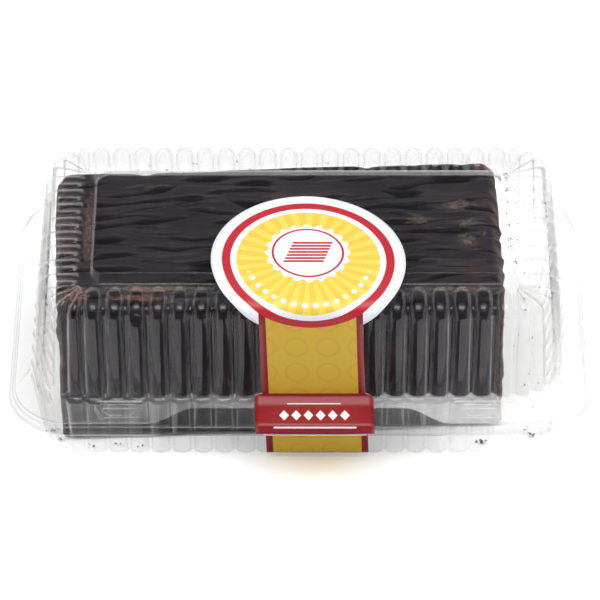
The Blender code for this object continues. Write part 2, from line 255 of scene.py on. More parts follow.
def wall_row(crest, groove, ahead=0.0, share=RIB_SHARE, heights=None, reach=None):
    """A ring of the fluted wall from (out, z) on a rib's crest and in the groove beside it."""
    core, outward = places(share)
    height = rib_height(ahead)
    out = groove[0] + (crest[0] - groove[0]) * height
    z = groove[1] + (crest[1] - groove[1]) * height
    offset = outward * out[:, None]
    if reach:
        offset = offset * side_reach(outward, z, heights, reach)
    return np.column_stack([core + offset, z])


def outline_row(half_x, front_y, back_y, corner, z):
    """A ring that is a plain rounded rectangle."""
    core, outward = places(RIB_SHARE)
    centre = (0.0, (front_y + back_y) / 2)
    inner = (half_x - corner, (back_y - front_y) / 2 - corner)
    flat = centre + core / (CORE_HALF_X, CORE_HALF_Y) * inner + outward * corner
    return np.column_stack([flat, np.full(len(flat), z)])


def tapered_wall(crests, grooves, heights, reach):
    """Rings of a wall whose ribs grow wider from the top down to the foot."""
    rows = []
    for crest, groove in zip(crests, grooves):
        down = np.interp(crest[1], (heights[0], heights[1] - 5.0), (1.0, 0.0))
        share = RIB_SHARE + (RIB_SHARE_FOOT - RIB_SHARE) * float(down)
        rows.append(wall_row(crest, groove, share=share, heights=heights, reach=reach))
    return rows


def rounded_line(corners, steps=7):
    """Points of a line whose inner corners, each (out, z, radius), are rounded to arcs."""
    points = [Vector(corners[0][:2])]
    for before, corner, after in zip(corners, corners[1:], corners[2:]):
        here = Vector(corner[:2])
        to_before = (Vector(before[:2]) - here).normalized()
        to_after = (Vector(after[:2]) - here).normalized()
        half = math.acos(max(-1.0, min(1.0, to_before.dot(to_after)))) / 2
        reach = corner[2] / math.tan(half)
        start = here + to_before * reach
        end = here + to_after * reach
        centre = here + (to_before + to_after).normalized() * (corner[2] / math.sin(half))
        for step in range(steps + 1):
            share = step / steps
            chord = start.lerp(end, share) - centre
            points.append(centre + chord.normalized() * corner[2])
    points.append(Vector(corners[-1][:2]))
    return [(point.x, point.y) for point in points]


def with_stations(line, shares):
    """Adds points to the longest stretch of a line of (out, z), at shares of its length."""
    spans = [math.dist(a, b) for a, b in zip(line, line[1:])]
    longest = spans.index(max(spans))
    start, end = Vector(line[longest]), Vector(line[longest + 1])
    extra = [tuple(start.lerp(end, share)) for share in shares]
    return line[:longest + 1] + extra + line[longest + 1:]


print("a rib covers", RIB_SHARE, "of its pitch at the top and", RIB_SHARE_FOOT, "at the foot")

# %% [markdown]
# ## The lid
# From the middle outwards the lid is a raised panel, a flat rim where the ribs begin, a round
# shoulder, the tall ribbed wall, a small cove at its foot and the wide flange. The flange isn't
# quite level: it bows up a little towards the wall at both sides of the label.
# %% Heights and profile of the lid
SHEET = 0.40
PANEL_HALF_X = 85.2
PANEL_FRONT_Y = -32.3
PANEL_BACK_Y = 33.6
PANEL_FRONT_RUN = 2.1
PANEL_CORNER = 5.8
RIM_Z = PACK_HEIGHT - 3.6
LID_FLANGE_Z = lid_low.z + 0.8
RIB_START = 1.0
RIB_ON_RIM = 0.9
GROOVE_ON_RIM = 0.9
DOME = FLUTE_PITCH / 2 * RIB_SHARE
LID_INSET = 2.6
LID_CORNER = 22.8
LID_HEIGHTS = (LID_FLANGE_Z, RIM_Z)
LID_REACH = ((1.03, 1.30), (1.0, 1.16), (1.42, 1.42))
NOTCH_Y = -61.2
NOTCH_FLAT = 43.0
NOTCH_END = 62.0
FLANGE_BOW = 0.5

crest_line = rounded_line(
    [(DOME + RIB_START, RIM_Z + RIB_ON_RIM), (14.1, RIM_Z + 0.35, 5.6),
     (20.45, LID_FLANGE_Z + 1.0, 1.2), (21.4, LID_FLANGE_Z + 0.25)], steps=5)
groove_line = rounded_line(
    [(DOME + RIB_START, RIM_Z - GROOVE_ON_RIM), (12.1, RIM_Z - 1.4, 3.4),
     (18.1, LID_FLANGE_Z + 1.0, 1.2), (19.6, LID_FLANGE_Z + 0.25)], steps=5)
crest_line = with_stations(crest_line, (0.05, 0.12, 0.25))
groove_line = with_stations(groove_line, (0.05, 0.12, 0.25))
print("lid profile points:", len(crest_line))


# %% Rings of the lid
def panel_rows():
    """The raised panel, from near its middle out to the foot of its edge."""
    rows = []
    for inset in (24.0, 9.0, 1.5):
        corner = max(PANEL_CORNER - inset, 0.2)
        rows.append(outline_row(
            PANEL_HALF_X - inset, PANEL_FRONT_Y + inset, PANEL_BACK_Y - inset, corner, PACK_HEIGHT))
    edge_radius = 0.6
    for turn in (0, 30, 60, 90):
        angle = math.radians(turn)
        inset = 0.7 - edge_radius * math.sin(angle)
        z = PACK_HEIGHT - edge_radius * (1 - math.cos(angle))
        rows.append(outline_row(
            PANEL_HALF_X - inset, PANEL_FRONT_Y + inset, PANEL_BACK_Y - inset,
            PANEL_CORNER - inset, z))
    for out, z in ((0.0, RIM_Z + 0.3), (0.45, RIM_Z)):
        rows.append(outline_row(
            PANEL_HALF_X + 0.3 + out, PANEL_FRONT_Y - PANEL_FRONT_RUN - out,
            PANEL_BACK_Y + 0.5 + out, PANEL_CORNER + 0.5 + out, z))
    return rows


def dome_rows():
    """The rim, where the ribs rise with a rounded end."""
    rows = [wall_row((0.3, RIM_Z), (0.3, RIM_Z))]
    for share in (0.0, 0.04, 0.14, 0.30, 0.50, 0.75):
        out = RIB_START + DOME * share
        crest = (out, RIM_Z + RIB_ON_RIM)
        groove = (out, RIM_Z - GROOVE_ON_RIM * share)
        rows.append(wall_row(crest, groove, 1.0 - share, RIB_SHARE, LID_HEIGHTS, LID_REACH))
    return rows


def notched(row, front_y):
    """Cuts the wide thumb notch into the front of a ring of the flange."""
    along = np.clip((np.abs(row[:, 0]) - NOTCH_FLAT) / (NOTCH_END - NOTCH_FLAT), 0.0, 1.0)
    ease = along * along * (3 - 2 * along)
    on_front = places(RIB_SHARE)[1][:, 1] < -0.999
    row[on_front, 1] = (NOTCH_Y + (front_y - NOTCH_Y) * ease)[on_front]
    return row


def flange_rows():
    """The flange from the cove at the wall's foot to its edge, with its slight bow."""
    half_x = FLANGE_HALF_X - LID_INSET
    front_y = FRONT_Y + LID_INSET
    inner = wall_row(
        (23.0, LID_FLANGE_Z), (22.0, LID_FLANGE_Z), 0.0, RIB_SHARE_FOOT, LID_HEIGHTS, LID_REACH)
    at_front = np.clip(-places(RIB_SHARE)[1][:, 1], 0.0, 1.0)
    outer = notched(outline_row(half_x, front_y, HINGE_Y, LID_CORNER, LID_FLANGE_Z), front_y)
    rows = []
    for share in (0.0, 0.35, 0.7, 0.94, 1.0):
        row = inner + (outer - inner) * share
        beside_label = np.clip((np.abs(row[:, 0]) - 30.0) / 35.0, 0.0, 1.0)
        lean = np.where(row[:, 0] > 0, 1.0, 0.55)
        row[:, 2] += FLANGE_BOW * (1 - share) ** 0.8 * beside_label * at_front * lean
        rows.append(row)
    return rows


print("flange reaches to", round(FLANGE_HALF_X - LID_INSET, 1), "mm from the middle")

# %% [markdown]
# One rib near the front left corner was knocked in transport and has a small round dent just
# below the shoulder. A dent is a soft push inwards, so the points near it move in by a bell curve.
# %% Make the lid
DENT_PLACE = Vector((-66.4, -53.2, 73.2))
DENT_RADIUS = 3.3
DENT_DEPTH = 2.8


def dented(points):
    """Pushes in the points near the dent."""
    offset = points - np.array(DENT_PLACE)
    offset[..., 2] *= 1.35
    bell = np.exp(-(np.linalg.norm(offset, axis=-1) / DENT_RADIUS) ** 2 * 2.2)
    points[..., 1] += DENT_DEPTH * bell
    points[..., 2] -= 0.3 * DENT_DEPTH * bell
    return points


lid_rows = panel_rows() + dome_rows()
lid_rows += tapered_wall(crest_line, groove_line, LID_HEIGHTS, LID_REACH)
lid_rows += flange_rows()
lid = grid_object("clear_lid", dented(np.array(lid_rows)), closed=True, cap_first=True)
# The flange's outer edge gets a grey line of painted shade.
lid_bend_shade = np.zeros((len(lid_rows), len(COLUMNS)))
lid_bend_shade[-1] = 0.7
keep_value(lid, "bend_shade", lid_bend_shade)
give_thickness(lid, SHEET)
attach(lid, "cover")
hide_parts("lid")
print("lid rings:", len(lid_rows), "faces:", len(lid.data.polygons))

# %% [markdown]
# ## The tray
# The tray has the same ribs. Its floor is flat and its foot is rounded, so the ribs show as
# scallops along the bottom. The flange is level, and turns down at the edge as a skirt that makes
# it stiff and gives fingers a hold. At the hinge there is no skirt.
# %% Make the tray
TRAY_FLANGE_Z = tray_high.z
TRAY_CORNER = 25.4
SKIRT_RUN = 2.3
SKIRT_DROP = 3.6
FOOT_RADIUS = 2.2

TRAY_HEIGHTS = (0.0, TRAY_FLANGE_Z)
TRAY_REACH = ((0.92, 1.03), (1.0, 1.0), (1.25, 1.36))
tray_crest = rounded_line(
    [(13.0, 0.0), (20.8, 0.0, FOOT_RADIUS), (22.8, TRAY_FLANGE_Z - 0.6, 0.8),
     (23.4, TRAY_FLANGE_Z - SHEET)])
tray_groove = rounded_line(
    [(12.0, 0.0), (18.8, 0.0, FOOT_RADIUS), (20.8, TRAY_FLANGE_Z - 0.6, 0.8),
     (22.4, TRAY_FLANGE_Z - SHEET)])


def skirt_rows():
    """The turned down edge of the tray's flange. It fades out towards the hinge."""
    rows = []
    for turn, fall in ((0, 0.0), (30, 0.0), (60, 0.0), (75, 0.5), (78, 1.0)):
        angle = math.radians(turn)
        inset = SHEET + 0.12 * (1 - fall) + SKIRT_RUN * (1 - math.sin(angle))
        drop = 1.0 * (1 - math.cos(angle)) + (SKIRT_DROP - 1.0) * fall
        back_y = HINGE_Y - min(inset, 1.0)
        half_x = FLANGE_HALF_X - inset
        corner = TRAY_CORNER - inset
        row = outline_row(half_x, FRONT_Y + inset, back_y, corner, TRAY_FLANGE_Z - SHEET)
        row[:, 2] -= drop * (1 - np.clip(places(RIB_SHARE)[1][:, 1], 0.0, 1.0))
        rows.append(row)
    return rows


tray_rows = tapered_wall(tray_crest, tray_groove, TRAY_HEIGHTS, TRAY_REACH)
tray_rows += skirt_rows()
tray = grid_object("clear_tray", np.array(tray_rows), closed=True, cap_first=True)
# Painted shade: grey lines along the skirt's bends, fainter at the front.
tray_bend_shade = np.zeros((len(tray_rows), len(COLUMNS)))
tray_bend_shade[-5:] = np.array([0.0, 0.55, 0.15, 0.75, 1.0])[:, None]
tray_bend_shade *= np.interp(places(RIB_SHARE)[1][:, 1], (-1.0, -0.5), (0.3, 1.0))
keep_value(tray, "bend_shade", tray_bend_shade)
give_thickness(tray, SHEET, offset=1.0)
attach(tray, "base")
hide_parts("tray")
print("tray rings:", len(tray_rows), "faces:", len(tray.data.polygons))


# %% [markdown]
# ## Clear PET
# Clear thermoformed PET sheet is glossy on both faces and only faintly grey. A sheet this thin
# doesn't bend what is seen through it, so a mix of a see through shader and a mirror is truer and
# quicker than glass. Schlick's formula weighs the two alike from both sides: little mirror face
# on, and all of it at a grazing angle. Where the sheet is seen edge on, a white haze is mixed in
# as a painted highlight. The sealing flange gets the same white as a painted sheen, more so at its
# right, and the short wall behind the raised panel gets it as a painted reflection. The lid's
# shoulder keeps more of the sheet's thickness at the back and the ends, so it is greyer there. At
# a cut edge or a tight bend, such as the skirt's, a grey line is painted into the sheet's tint as
# shade: the meshes keep those places as a value. The sheet is never quite flat, so a broad soft
# bump makes its reflections waver.
# %% Clear PET material
PET_MIRROR = 0.024
PET_WAVE = 14.0
PET_FINE = 2.5
PET_THICK = "#f3f3f3"
# Grey painted into the tint as shade at cut edges and tight bends.
PET_BEND_SHADE = "#dcddde"
PET_SHEEN_WHITE = "#f4f4f4"
SHEEN_THROUGH = 0.4
HINGE_SIDE = (34.0, 42.0)
END_SIDE = (86.0, 92.0)
END_THICK = 0.15
SHOULDER = (42.0, 56.0)
# White mixed into the sheet: a painted highlight where it is seen edge on, a painted sheen on the
# flanges and a painted reflection on the riser behind the panel.
EDGE_HIGHLIGHT = 0.25
PANEL_EDGE_CLEARER = 0.6
LID_FLANGE_SHEEN = (0.02, 0.21)
TRAY_FLANGE_SHEEN = (0.0, 0.04)
SHEEN_FROM, SHEEN_TO = -90.0, 70.0
FLANGE_BAND = (1.1, 0.6)
RISER_REFLECTION = 0.20
RISER_REFLECTION_HALF_X = 82.0


def painted_sheet_sheen(tree, parts, facing, broad, flange_z, flange_sheen):
    """How much white the lid's or the tray's sheet gets: a painted highlight at its edges, a
    painted sheen on its flange and a painted reflection on the riser behind the panel.
    """
    x, y, z = parts.outputs
    # Painted highlight: white where the sheet is seen edge on.
    edge = add_node(tree, "Math", (facing, 4.0), operation="POWER")
    sheen = add_node(tree, "Math", (edge, EDGE_HIGHLIGHT), operation="MULTIPLY")
    if flange_z is None:
        return sheen
    raised = add_node(tree, "Math", (z, (RIM_Z + 1.1) * MM), operation="GREATER_THAN")
    clearer = add_node(tree, "Math", (raised, -PANEL_EDGE_CLEARER, 1.0), operation="MULTIPLY_ADD")
    sheen = add_node(tree, "Math", (sheen, clearer), operation="MULTIPLY")

    above = add_node(tree, "Math", (z, flange_z * MM), operation="SUBTRACT")
    off_level = add_node(tree, "Math", (above,), operation="ABSOLUTE")
    low = add_node(tree, "MapRange", {
        "Value": off_level, "From Min": FLANGE_BAND[0] * MM, "From Max": FLANGE_BAND[1] * MM})
    # Painted sheen on the flange, growing towards the right and varied in patches.
    flange_sheen_share = add_node(tree, "MapRange", {
        "Value": x, "From Min": SHEEN_FROM * MM, "From Max": SHEEN_TO * MM,
        "To Min": flange_sheen[0], "To Max": flange_sheen[1]})
    sheen_patches = add_node(tree, "MapRange", {
        "Value": broad, "From Min": 0.3, "From Max": 0.7, "To Min": 0.75, "To Max": 1.1})
    patch_share = add_node(tree, "Math", (flange_sheen_share, sheen_patches), operation="MULTIPLY")
    sheen = add_node(tree, "Math", (patch_share, low, sheen), operation="MULTIPLY_ADD")

    # Painted reflection: a white band on the short wall behind the raised panel.
    behind = add_node(tree, "MapRange", {
        "Value": y, "From Min": (PANEL_BACK_Y - 1.6) * MM, "From Max": (PANEL_BACK_Y - 0.9) * MM,
        "To Max": RISER_REFLECTION})
    risen = add_node(tree, "Math", (z, (RIM_Z + 0.6) * MM), operation="GREATER_THAN")
    aside = add_node(tree, "Math", (x,), operation="ABSOLUTE")
    inner = add_node(tree, "Math", (aside, RISER_REFLECTION_HALF_X * MM), operation="LESS_THAN")
    riser = add_node(tree, "Math", (risen, inner), operation="MULTIPLY")
    return add_node(tree, "Math", (behind, riser, sheen), operation="MULTIPLY_ADD")


def clear_pet(name, tint, roughness, flange_z=None, flange_sheen=(0.0, 0.0)):
    """Clear PET sheet. Near flange_z, in mm, it gets a painted sheen as strong as the last argument
    says, left and right.
    """
    material, tree = new_material(name)
    place = add_node(tree, "TexCoord").outputs["Object"]
    parts = add_node(tree, "SeparateXYZ", (place,))
    broad = add_node(tree, "TexNoise", {
        "Vector": place, "Scale": 1 / (PET_WAVE * MM), "Detail": 1.0})
    fine = add_node(tree, "TexNoise", {
        "Vector": place, "Scale": 1 / (PET_FINE * MM), "Detail": 2.0})
    broad_bump = add_node(tree, "Bump", {
        "Height": broad, "Strength": 0.3, "Distance": 0.12 * MM})
    bump = add_node(tree, "Bump", {
        "Height": fine, "Strength": 0.15, "Distance": 0.02 * MM, "Normal": broad_bump})
    facing = add_node(tree, "LayerWeight", {"Blend": 0.5, "Normal": bump}).outputs["Facing"]
    grazing = add_node(tree, "Math", (facing, 5.0), operation="POWER")
    mirrored = add_node(
        tree, "Math", (grazing, 1.0 - PET_MIRROR, PET_MIRROR), operation="MULTIPLY_ADD")

    to_hinge = add_node(tree, "MapRange", {
        "Value": parts.outputs[1], "From Min": HINGE_SIDE[0] * MM, "From Max": HINGE_SIDE[1] * MM})
    off_middle = add_node(tree, "Math", (parts.outputs[0],), operation="ABSOLUTE")
    to_end = add_node(tree, "MapRange", {
        "Value": off_middle, "From Min": END_SIDE[0] * MM, "From Max": END_SIDE[1] * MM,
        "To Max": END_THICK})
    upper = add_node(tree, "MapRange", {
        "Value": parts.outputs[2], "From Min": SHOULDER[0] * MM, "From Max": SHOULDER[1] * MM})
    thicker = add_node(tree, "Math", (to_hinge, to_end), operation="MAXIMUM")
    thick = add_node(tree, "Math", (thicker, upper), operation="MULTIPLY")
    grey = add_node(tree, "Mix", {
        0: thick, 6: linear(tint), 7: linear(PET_THICK)}, data_type="RGBA")
    # Painted shade at cut edges and bends.
    bend_shade_share = add_node(tree, "Attribute", attribute_name="bend_shade").outputs["Fac"]
    bend_shaded = add_node(tree, "Mix", {0: bend_shade_share, 6: grey, 7: linear(PET_BEND_SHADE)}, data_type="RGBA")

    clear = add_node(tree, "BsdfTransparent", {"Color": bend_shaded})
    mirror = add_node(tree, "BsdfGlossy", {"Roughness": roughness, "Normal": bump})
    sheet = add_node(tree, "MixShader", (mirrored, clear, mirror))
    # The white of the painted highlight, sheen and reflection.
    white = add_node(tree, "BsdfDiffuse", {"Color": linear(PET_SHEEN_WHITE)})
    glow = add_node(tree, "BsdfTranslucent", {"Color": linear(PET_SHEEN_WHITE)})
    sheen_shader = add_node(tree, "MixShader", (SHEEN_THROUGH, white, glow))
    sheen = painted_sheet_sheen(tree, parts, facing, broad, flange_z, flange_sheen)
    shader = add_node(tree, "MixShader", (sheen, sheet, sheen_shader))
    add_node(tree, "OutputMaterial", {"Surface": shader})
    return material


lid.data.materials.append(clear_pet(
    "clear_pet_sheet_lid", "#fefefe", 0.06, LID_FLANGE_Z + 0.2, LID_FLANGE_SHEEN))
tray.data.materials.append(clear_pet(
    "clear_pet_sheet_tray", "#fdfdfd", 0.06, TRAY_FLANGE_Z - 0.2, TRAY_FLANGE_SHEEN))
print("clear PET on", lid.name, "and", tray.name)

# %% [markdown]
# ## Snap locks
# Near the front corners the lid has two locks, trapezoid buttons that press over their twins in
# the tray. Each is a boss with sloped sides, and a shallow pocket is sunk into its top. They are
# small lofts of rounded outlines, and ride on the lid.
# %% Make the snap locks
LOCK_X = 74.0
LOCK_BACK_Y = -58.0
LOCK_DEPTH = 12.2
LOCK_WIDE = 20.4
LOCK_NARROW = 14.4
LOCK_RISE = 1.7


def lock_ring(side, inset, z, back_trim=0.0, front_trim=0.0):
    """Outline of a lock: full width over its back half, then tapering to the front."""
    half_wide = LOCK_WIDE / 2 - inset
    half_narrow = LOCK_NARROW / 2 - inset
    back = LOCK_BACK_Y - inset - back_trim
    front = LOCK_BACK_Y - LOCK_DEPTH + inset + front_trim
    waist = LOCK_BACK_Y - LOCK_DEPTH * 0.45
    corners = [(-half_wide, back), (-half_wide, waist), (-half_narrow, front),
               (half_narrow, front), (half_wide, waist), (half_wide, back)]
    ring = []
    for index, corner in enumerate(corners):
        before = Vector(corners[index - 1])
        after = Vector(corners[(index + 1) % len(corners)])
        here = Vector(corner)
        reach = 0.7
        start = here + (before - here).normalized() * reach
        end = here + (after - here).normalized() * reach
        for share in (0.0, 0.33, 0.67, 1.0):
            first = start.lerp(here, share)
            second = here.lerp(end, share)
            point = first.lerp(second, share)
            ring.append((side * LOCK_X + point.x, point.y, z))
    return ring


def make_lock(name, side):
    """One snap lock with its pocket."""
    foot = LID_FLANGE_Z + 0.05
    top = LID_FLANGE_Z + LOCK_RISE
    rows = [
        lock_ring(side, 0.0, foot),
        lock_ring(side, 0.3, foot + 0.2),
        lock_ring(side, 0.8, top - 0.2),
        lock_ring(side, 1.0, top),
        lock_ring(side, 2.3, top, back_trim=0.8),
        lock_ring(side, 2.6, top - 0.2, back_trim=0.8),
        lock_ring(side, 3.2, foot + 0.3, back_trim=0.8, front_trim=0.3),
        lock_ring(side, 4.0, foot + 0.2, back_trim=1.0, front_trim=0.3),
    ]
    points = np.array(rows)
    centre = points.reshape(-1, 3).mean(axis=0)
    lock = grid_object(name, points, closed=True, cap_last=True)
    give_thickness(lock, 0.3, offset=0.0)
    lock.data.materials.append(lock_pet)
    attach(lock, "cover")
    return centre


lock_pet = clear_pet("clear_pet_sheet_lock", "#fdfdfd", 0.06)
for side_name, side in (("left", -1), ("right", 1)):
    print("lock", side_name, "at", make_lock("snap_lock_" + side_name, side).round(1))

# %% [markdown]
# ## The loaf
# The loaf is an uncut bar of sponge and cream, coated in dark chocolate. The baker draws a comb
# along the top while the coating is soft: broad ridges that wander, fork and fade, with fine
# scratches between them. At the right end the ridges run over the edge in small lumps.
# The mesh is a stack of cross sections, and the comb is a height read from smooth noise. The loaf
# was set down a little askew, so all sections are turned together at the end.
# %% Shape of the loaf
CAKE_X = -8.4
CAKE_Y = 0.4
CAKE_TURN = 0.0454
CAKE_HALF_LENGTH = 93.2
CAKE_HALF_WIDTH = 43.8
CAKE_END_SLANT = 0.025
FRONT_LEAN = 1.0
BACK_LEAN = 0.3
FRONT_RADIUS = 6.5
BACK_RADIUS = 2.5
PLAN_RADIUS_LOW = 3.0
PLAN_RADIUS_TOP = 7.0
COMB_PITCH = 9.2
COMB_DEPTH = 1.6
SCRATCH_PITCH = 2.3
SCRATCH_DEPTH = 0.16
CAKE_FLOOR = cake_low.z
CAKE_TOP = cake_high.z - 0.2
print(f"loaf {2 * CAKE_HALF_LENGTH:.0f} x {2 * CAKE_HALF_WIDTH:.0f} x {CAKE_TOP:.0f} mm")


def smooth_noise(x, y, z=0.0):
    """Smooth noise from -1 to 1 at a place."""
    return noise.noise(Vector((x, y, z)))


def comb_drift(x, y):
    """How far the comb has wandered to one side at a place, in mm."""
    return 5.0 * smooth_noise(x / 48, y / 24, 3.0) + 1.6 * smooth_noise(x / 17, y / 11, 9.0)


def stroke(x, y):
    """Depth, 0 to 1, of the short strokes that the comb's teeth have cut; they are painted dark, as
    shade.
    """
    lens = smooth_noise(x / 21, (y + comb_drift(x, y)) / 3.1, 21.0)
    return min(max((lens - 0.09) / 0.22, 0.0), 1.0)


def comb(x, y):
    """Height of the combed icing at a place on the top, from about -1 to 0, in comb depths."""
    drift = comb_drift(x, y)
    wave = 0.5 + 0.5 * math.cos(2 * math.pi * (y + drift) / COMB_PITCH)
    strength = 0.32 + 0.7 * smooth_noise(x / 32, y / 6, 5.0)
    ridge = (wave ** 0.7 - 1.0) * min(max(strength, 0.05), 1.0)
    ridge -= 0.8 * stroke(x, y)
    scratch = 0.5 + 0.5 * math.cos(2 * math.pi * (y + 0.8 * drift) / SCRATCH_PITCH)
    scratch *= max(smooth_noise(x / 20, y / 9, 14.0) + 0.2, 0.0)
    return ridge - SCRATCH_DEPTH / COMB_DEPTH * scratch


# %% Sections of the loaf
def arc(centre_y, centre_z, radius, start, end, steps):
    """Points of an arc in the section's plane, by angles in degrees."""
    points = []
    for step in range(steps):
        angle = math.radians(start + (end - start) * (step + 0.5) / steps)
        points.append((centre_y + radius * math.cos(angle), centre_z + radius * math.sin(angle)))
    return points


def end_shrink(distance, radius):
    """How far the outline pulls in at a distance from the loaf's end."""
    if distance >= radius:
        return 0.0
    return radius - math.sqrt(radius ** 2 - (radius - distance) ** 2)


def section(distance):
    """Outline of the loaf across its length, from the bottom back round the front to the back."""
    low = end_shrink(distance, PLAN_RADIUS_LOW)
    high = end_shrink(distance, PLAN_RADIUS_TOP)
    top = CAKE_TOP - high

    def half_at(z, lean):
        return CAKE_HALF_WIDTH - low - (lean + high - low) * z / CAKE_TOP

    foot = half_at(0.0, 0.0)
    points = [(foot - 2.0 - (2 * foot - 4.0) * s / 12, CAKE_FLOOR) for s in range(13)]
    points += arc(1.5 - foot, CAKE_FLOOR + 1.5, 1.5, 270, 180, 3)
    wall = [CAKE_FLOOR + 2.0 + (top - FRONT_RADIUS - CAKE_FLOOR - 2.5) * s / 39 for s in range(40)]
    points += [(-half_at(z, FRONT_LEAN), z) for z in wall]
    front = half_at(top, FRONT_LEAN) - FRONT_RADIUS
    back = half_at(top, BACK_LEAN) - BACK_RADIUS
    points += arc(-front, top - FRONT_RADIUS, FRONT_RADIUS, 180, 90, 9)
    points += [(-front + (front + back) * s / 149, top) for s in range(150)]
    points += arc(back, top - BACK_RADIUS, BACK_RADIUS, 90, 0, 6)
    rear = [z for z in wall[::3] if z < top - BACK_RADIUS - 1.0]
    points += [(half_at(z, BACK_LEAN), z) for z in reversed(rear)]
    return np.array(points)


SECTION_CENTRE = np.array([0.0, CAKE_TOP / 2])
END_STEPS = (0.15, 0.6, 1.3, 2.2, 3.4, 4.8, 6.4)
CAP_SCALES = (0.02, 0.25, 0.5, 0.72, 0.88)
print("points round a section:", len(section(CAKE_HALF_LENGTH)))


# %% [markdown]
# The coating is uneven everywhere. On the walls the knife left it almost smooth with broad, low
# waves. At the ends it is rough, and the right end's top edge has a lump for every ridge.
# %% Make the loaf
def cake_point(x, y, z, left, right):
    """Moves a point of the loaf's plain form to where the coating is."""
    top_share = min(max((z - (CAKE_TOP - FRONT_RADIUS)) / FRONT_RADIUS, 0.0), 1.0)
    to_end = min(x - left, right - x)
    low_wave = 0.45 * smooth_noise(x / 26, y / 18, z / 15)
    low_wave += 0.14 * smooth_noise(x / 7, y / 7, z / 6)
    side_share = 1.0 - top_share
    towards_front = -1.0 if y < SECTION_CENTRE[0] else 1.0
    y += towards_front * low_wave * side_share * min(abs(y - SECTION_CENTRE[0]) / 30, 1.0)
    z += COMB_DEPTH * comb(x, y) * top_share ** 1.5
    near_end = max(1.0 - to_end / 9.0, 0.0)
    rough = 0.8 * smooth_noise(x / 3, y / 3.4, z / 3.4) + 0.9 * smooth_noise(x / 9, y / 8, z / 9)
    x += (1.0 if x > 0 else -1.0) * near_end * (rough - 0.5)
    if x > 0:
        lump = max(math.sin(2 * math.pi * (y + 1.5 * smooth_noise(y / 9, 2.0)) / COMB_PITCH), -0.3)
        x += near_end * top_share ** 0.5 * 1.5 * (lump - 0.3)
        x += CAKE_END_SLANT * y * x / CAKE_HALF_LENGTH
    return x, y, max(z, CAKE_FLOOR)


def loaf_rows():
    """All sections of the loaf, closed by shrinking ones and turned in place, and its strokes."""
    left = -CAKE_HALF_LENGTH
    right = CAKE_HALF_LENGTH
    middle = np.arange(left + PLAN_RADIUS_TOP, right - PLAN_RADIUS_TOP, 0.95)
    places = [left + s for s in END_STEPS] + list(middle) + [right - s for s in reversed(END_STEPS)]
    plain = [(x, 1.0) for x in places]
    caps = [(left, scale) for scale in CAP_SCALES]
    ends = [(right, scale) for scale in reversed(CAP_SCALES)]
    rows = []
    strokes = []
    for x, scale in caps + plain + ends:
        outline = section(min(x - left, right - x))
        outline = SECTION_CENTRE + (outline - SECTION_CENTRE) * scale
        rows.append([cake_point(x, y, z, left, right) for y, z in outline])
        strokes.append([stroke(x, y) if z > CAKE_TOP - 4.0 else 0.0 for y, z in outline])
    points = np.array(rows)
    along, across = points[..., 0].copy(), points[..., 1].copy()
    points[..., 0] = CAKE_X + math.cos(CAKE_TURN) * along - math.sin(CAKE_TURN) * across
    points[..., 1] = CAKE_Y + math.sin(CAKE_TURN) * along + math.cos(CAKE_TURN) * across
    return points, np.array(strokes)


loaf_points, loaf_strokes = loaf_rows()
loaf = grid_object("chocolate_loaf", loaf_points, closed=True, cap_first=True, cap_last=True)
# The strokes are kept for the painted shade in them.
keep_value(loaf, "stroke_shade", loaf_strokes)
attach(loaf, "base")
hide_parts("cake")
print("loaf faces:", len(loaf.data.polygons))


# %% [markdown]
# ## Dark chocolate coating
# Compound chocolate sets with a half gloss skin, index of refraction about 1.46, nearly black
# where it is thick and a warmer brown where it is thin, as on both ends. Bloom and crumbs break
# the gloss up. Grain and scratches follow the comb, so the noise is stretched along the loaf. The
# comb's strokes are painted darker and duller, as shade in those cuts: the mesh keeps them as a
# value. The sides are duller than the top, where the coating ran smooth.
# %% Dark chocolate material
CHOCOLATE_PATCH = 22.0
CHOCOLATE_GRAIN = 1.1
SCRATCH_STRETCH = 9.0


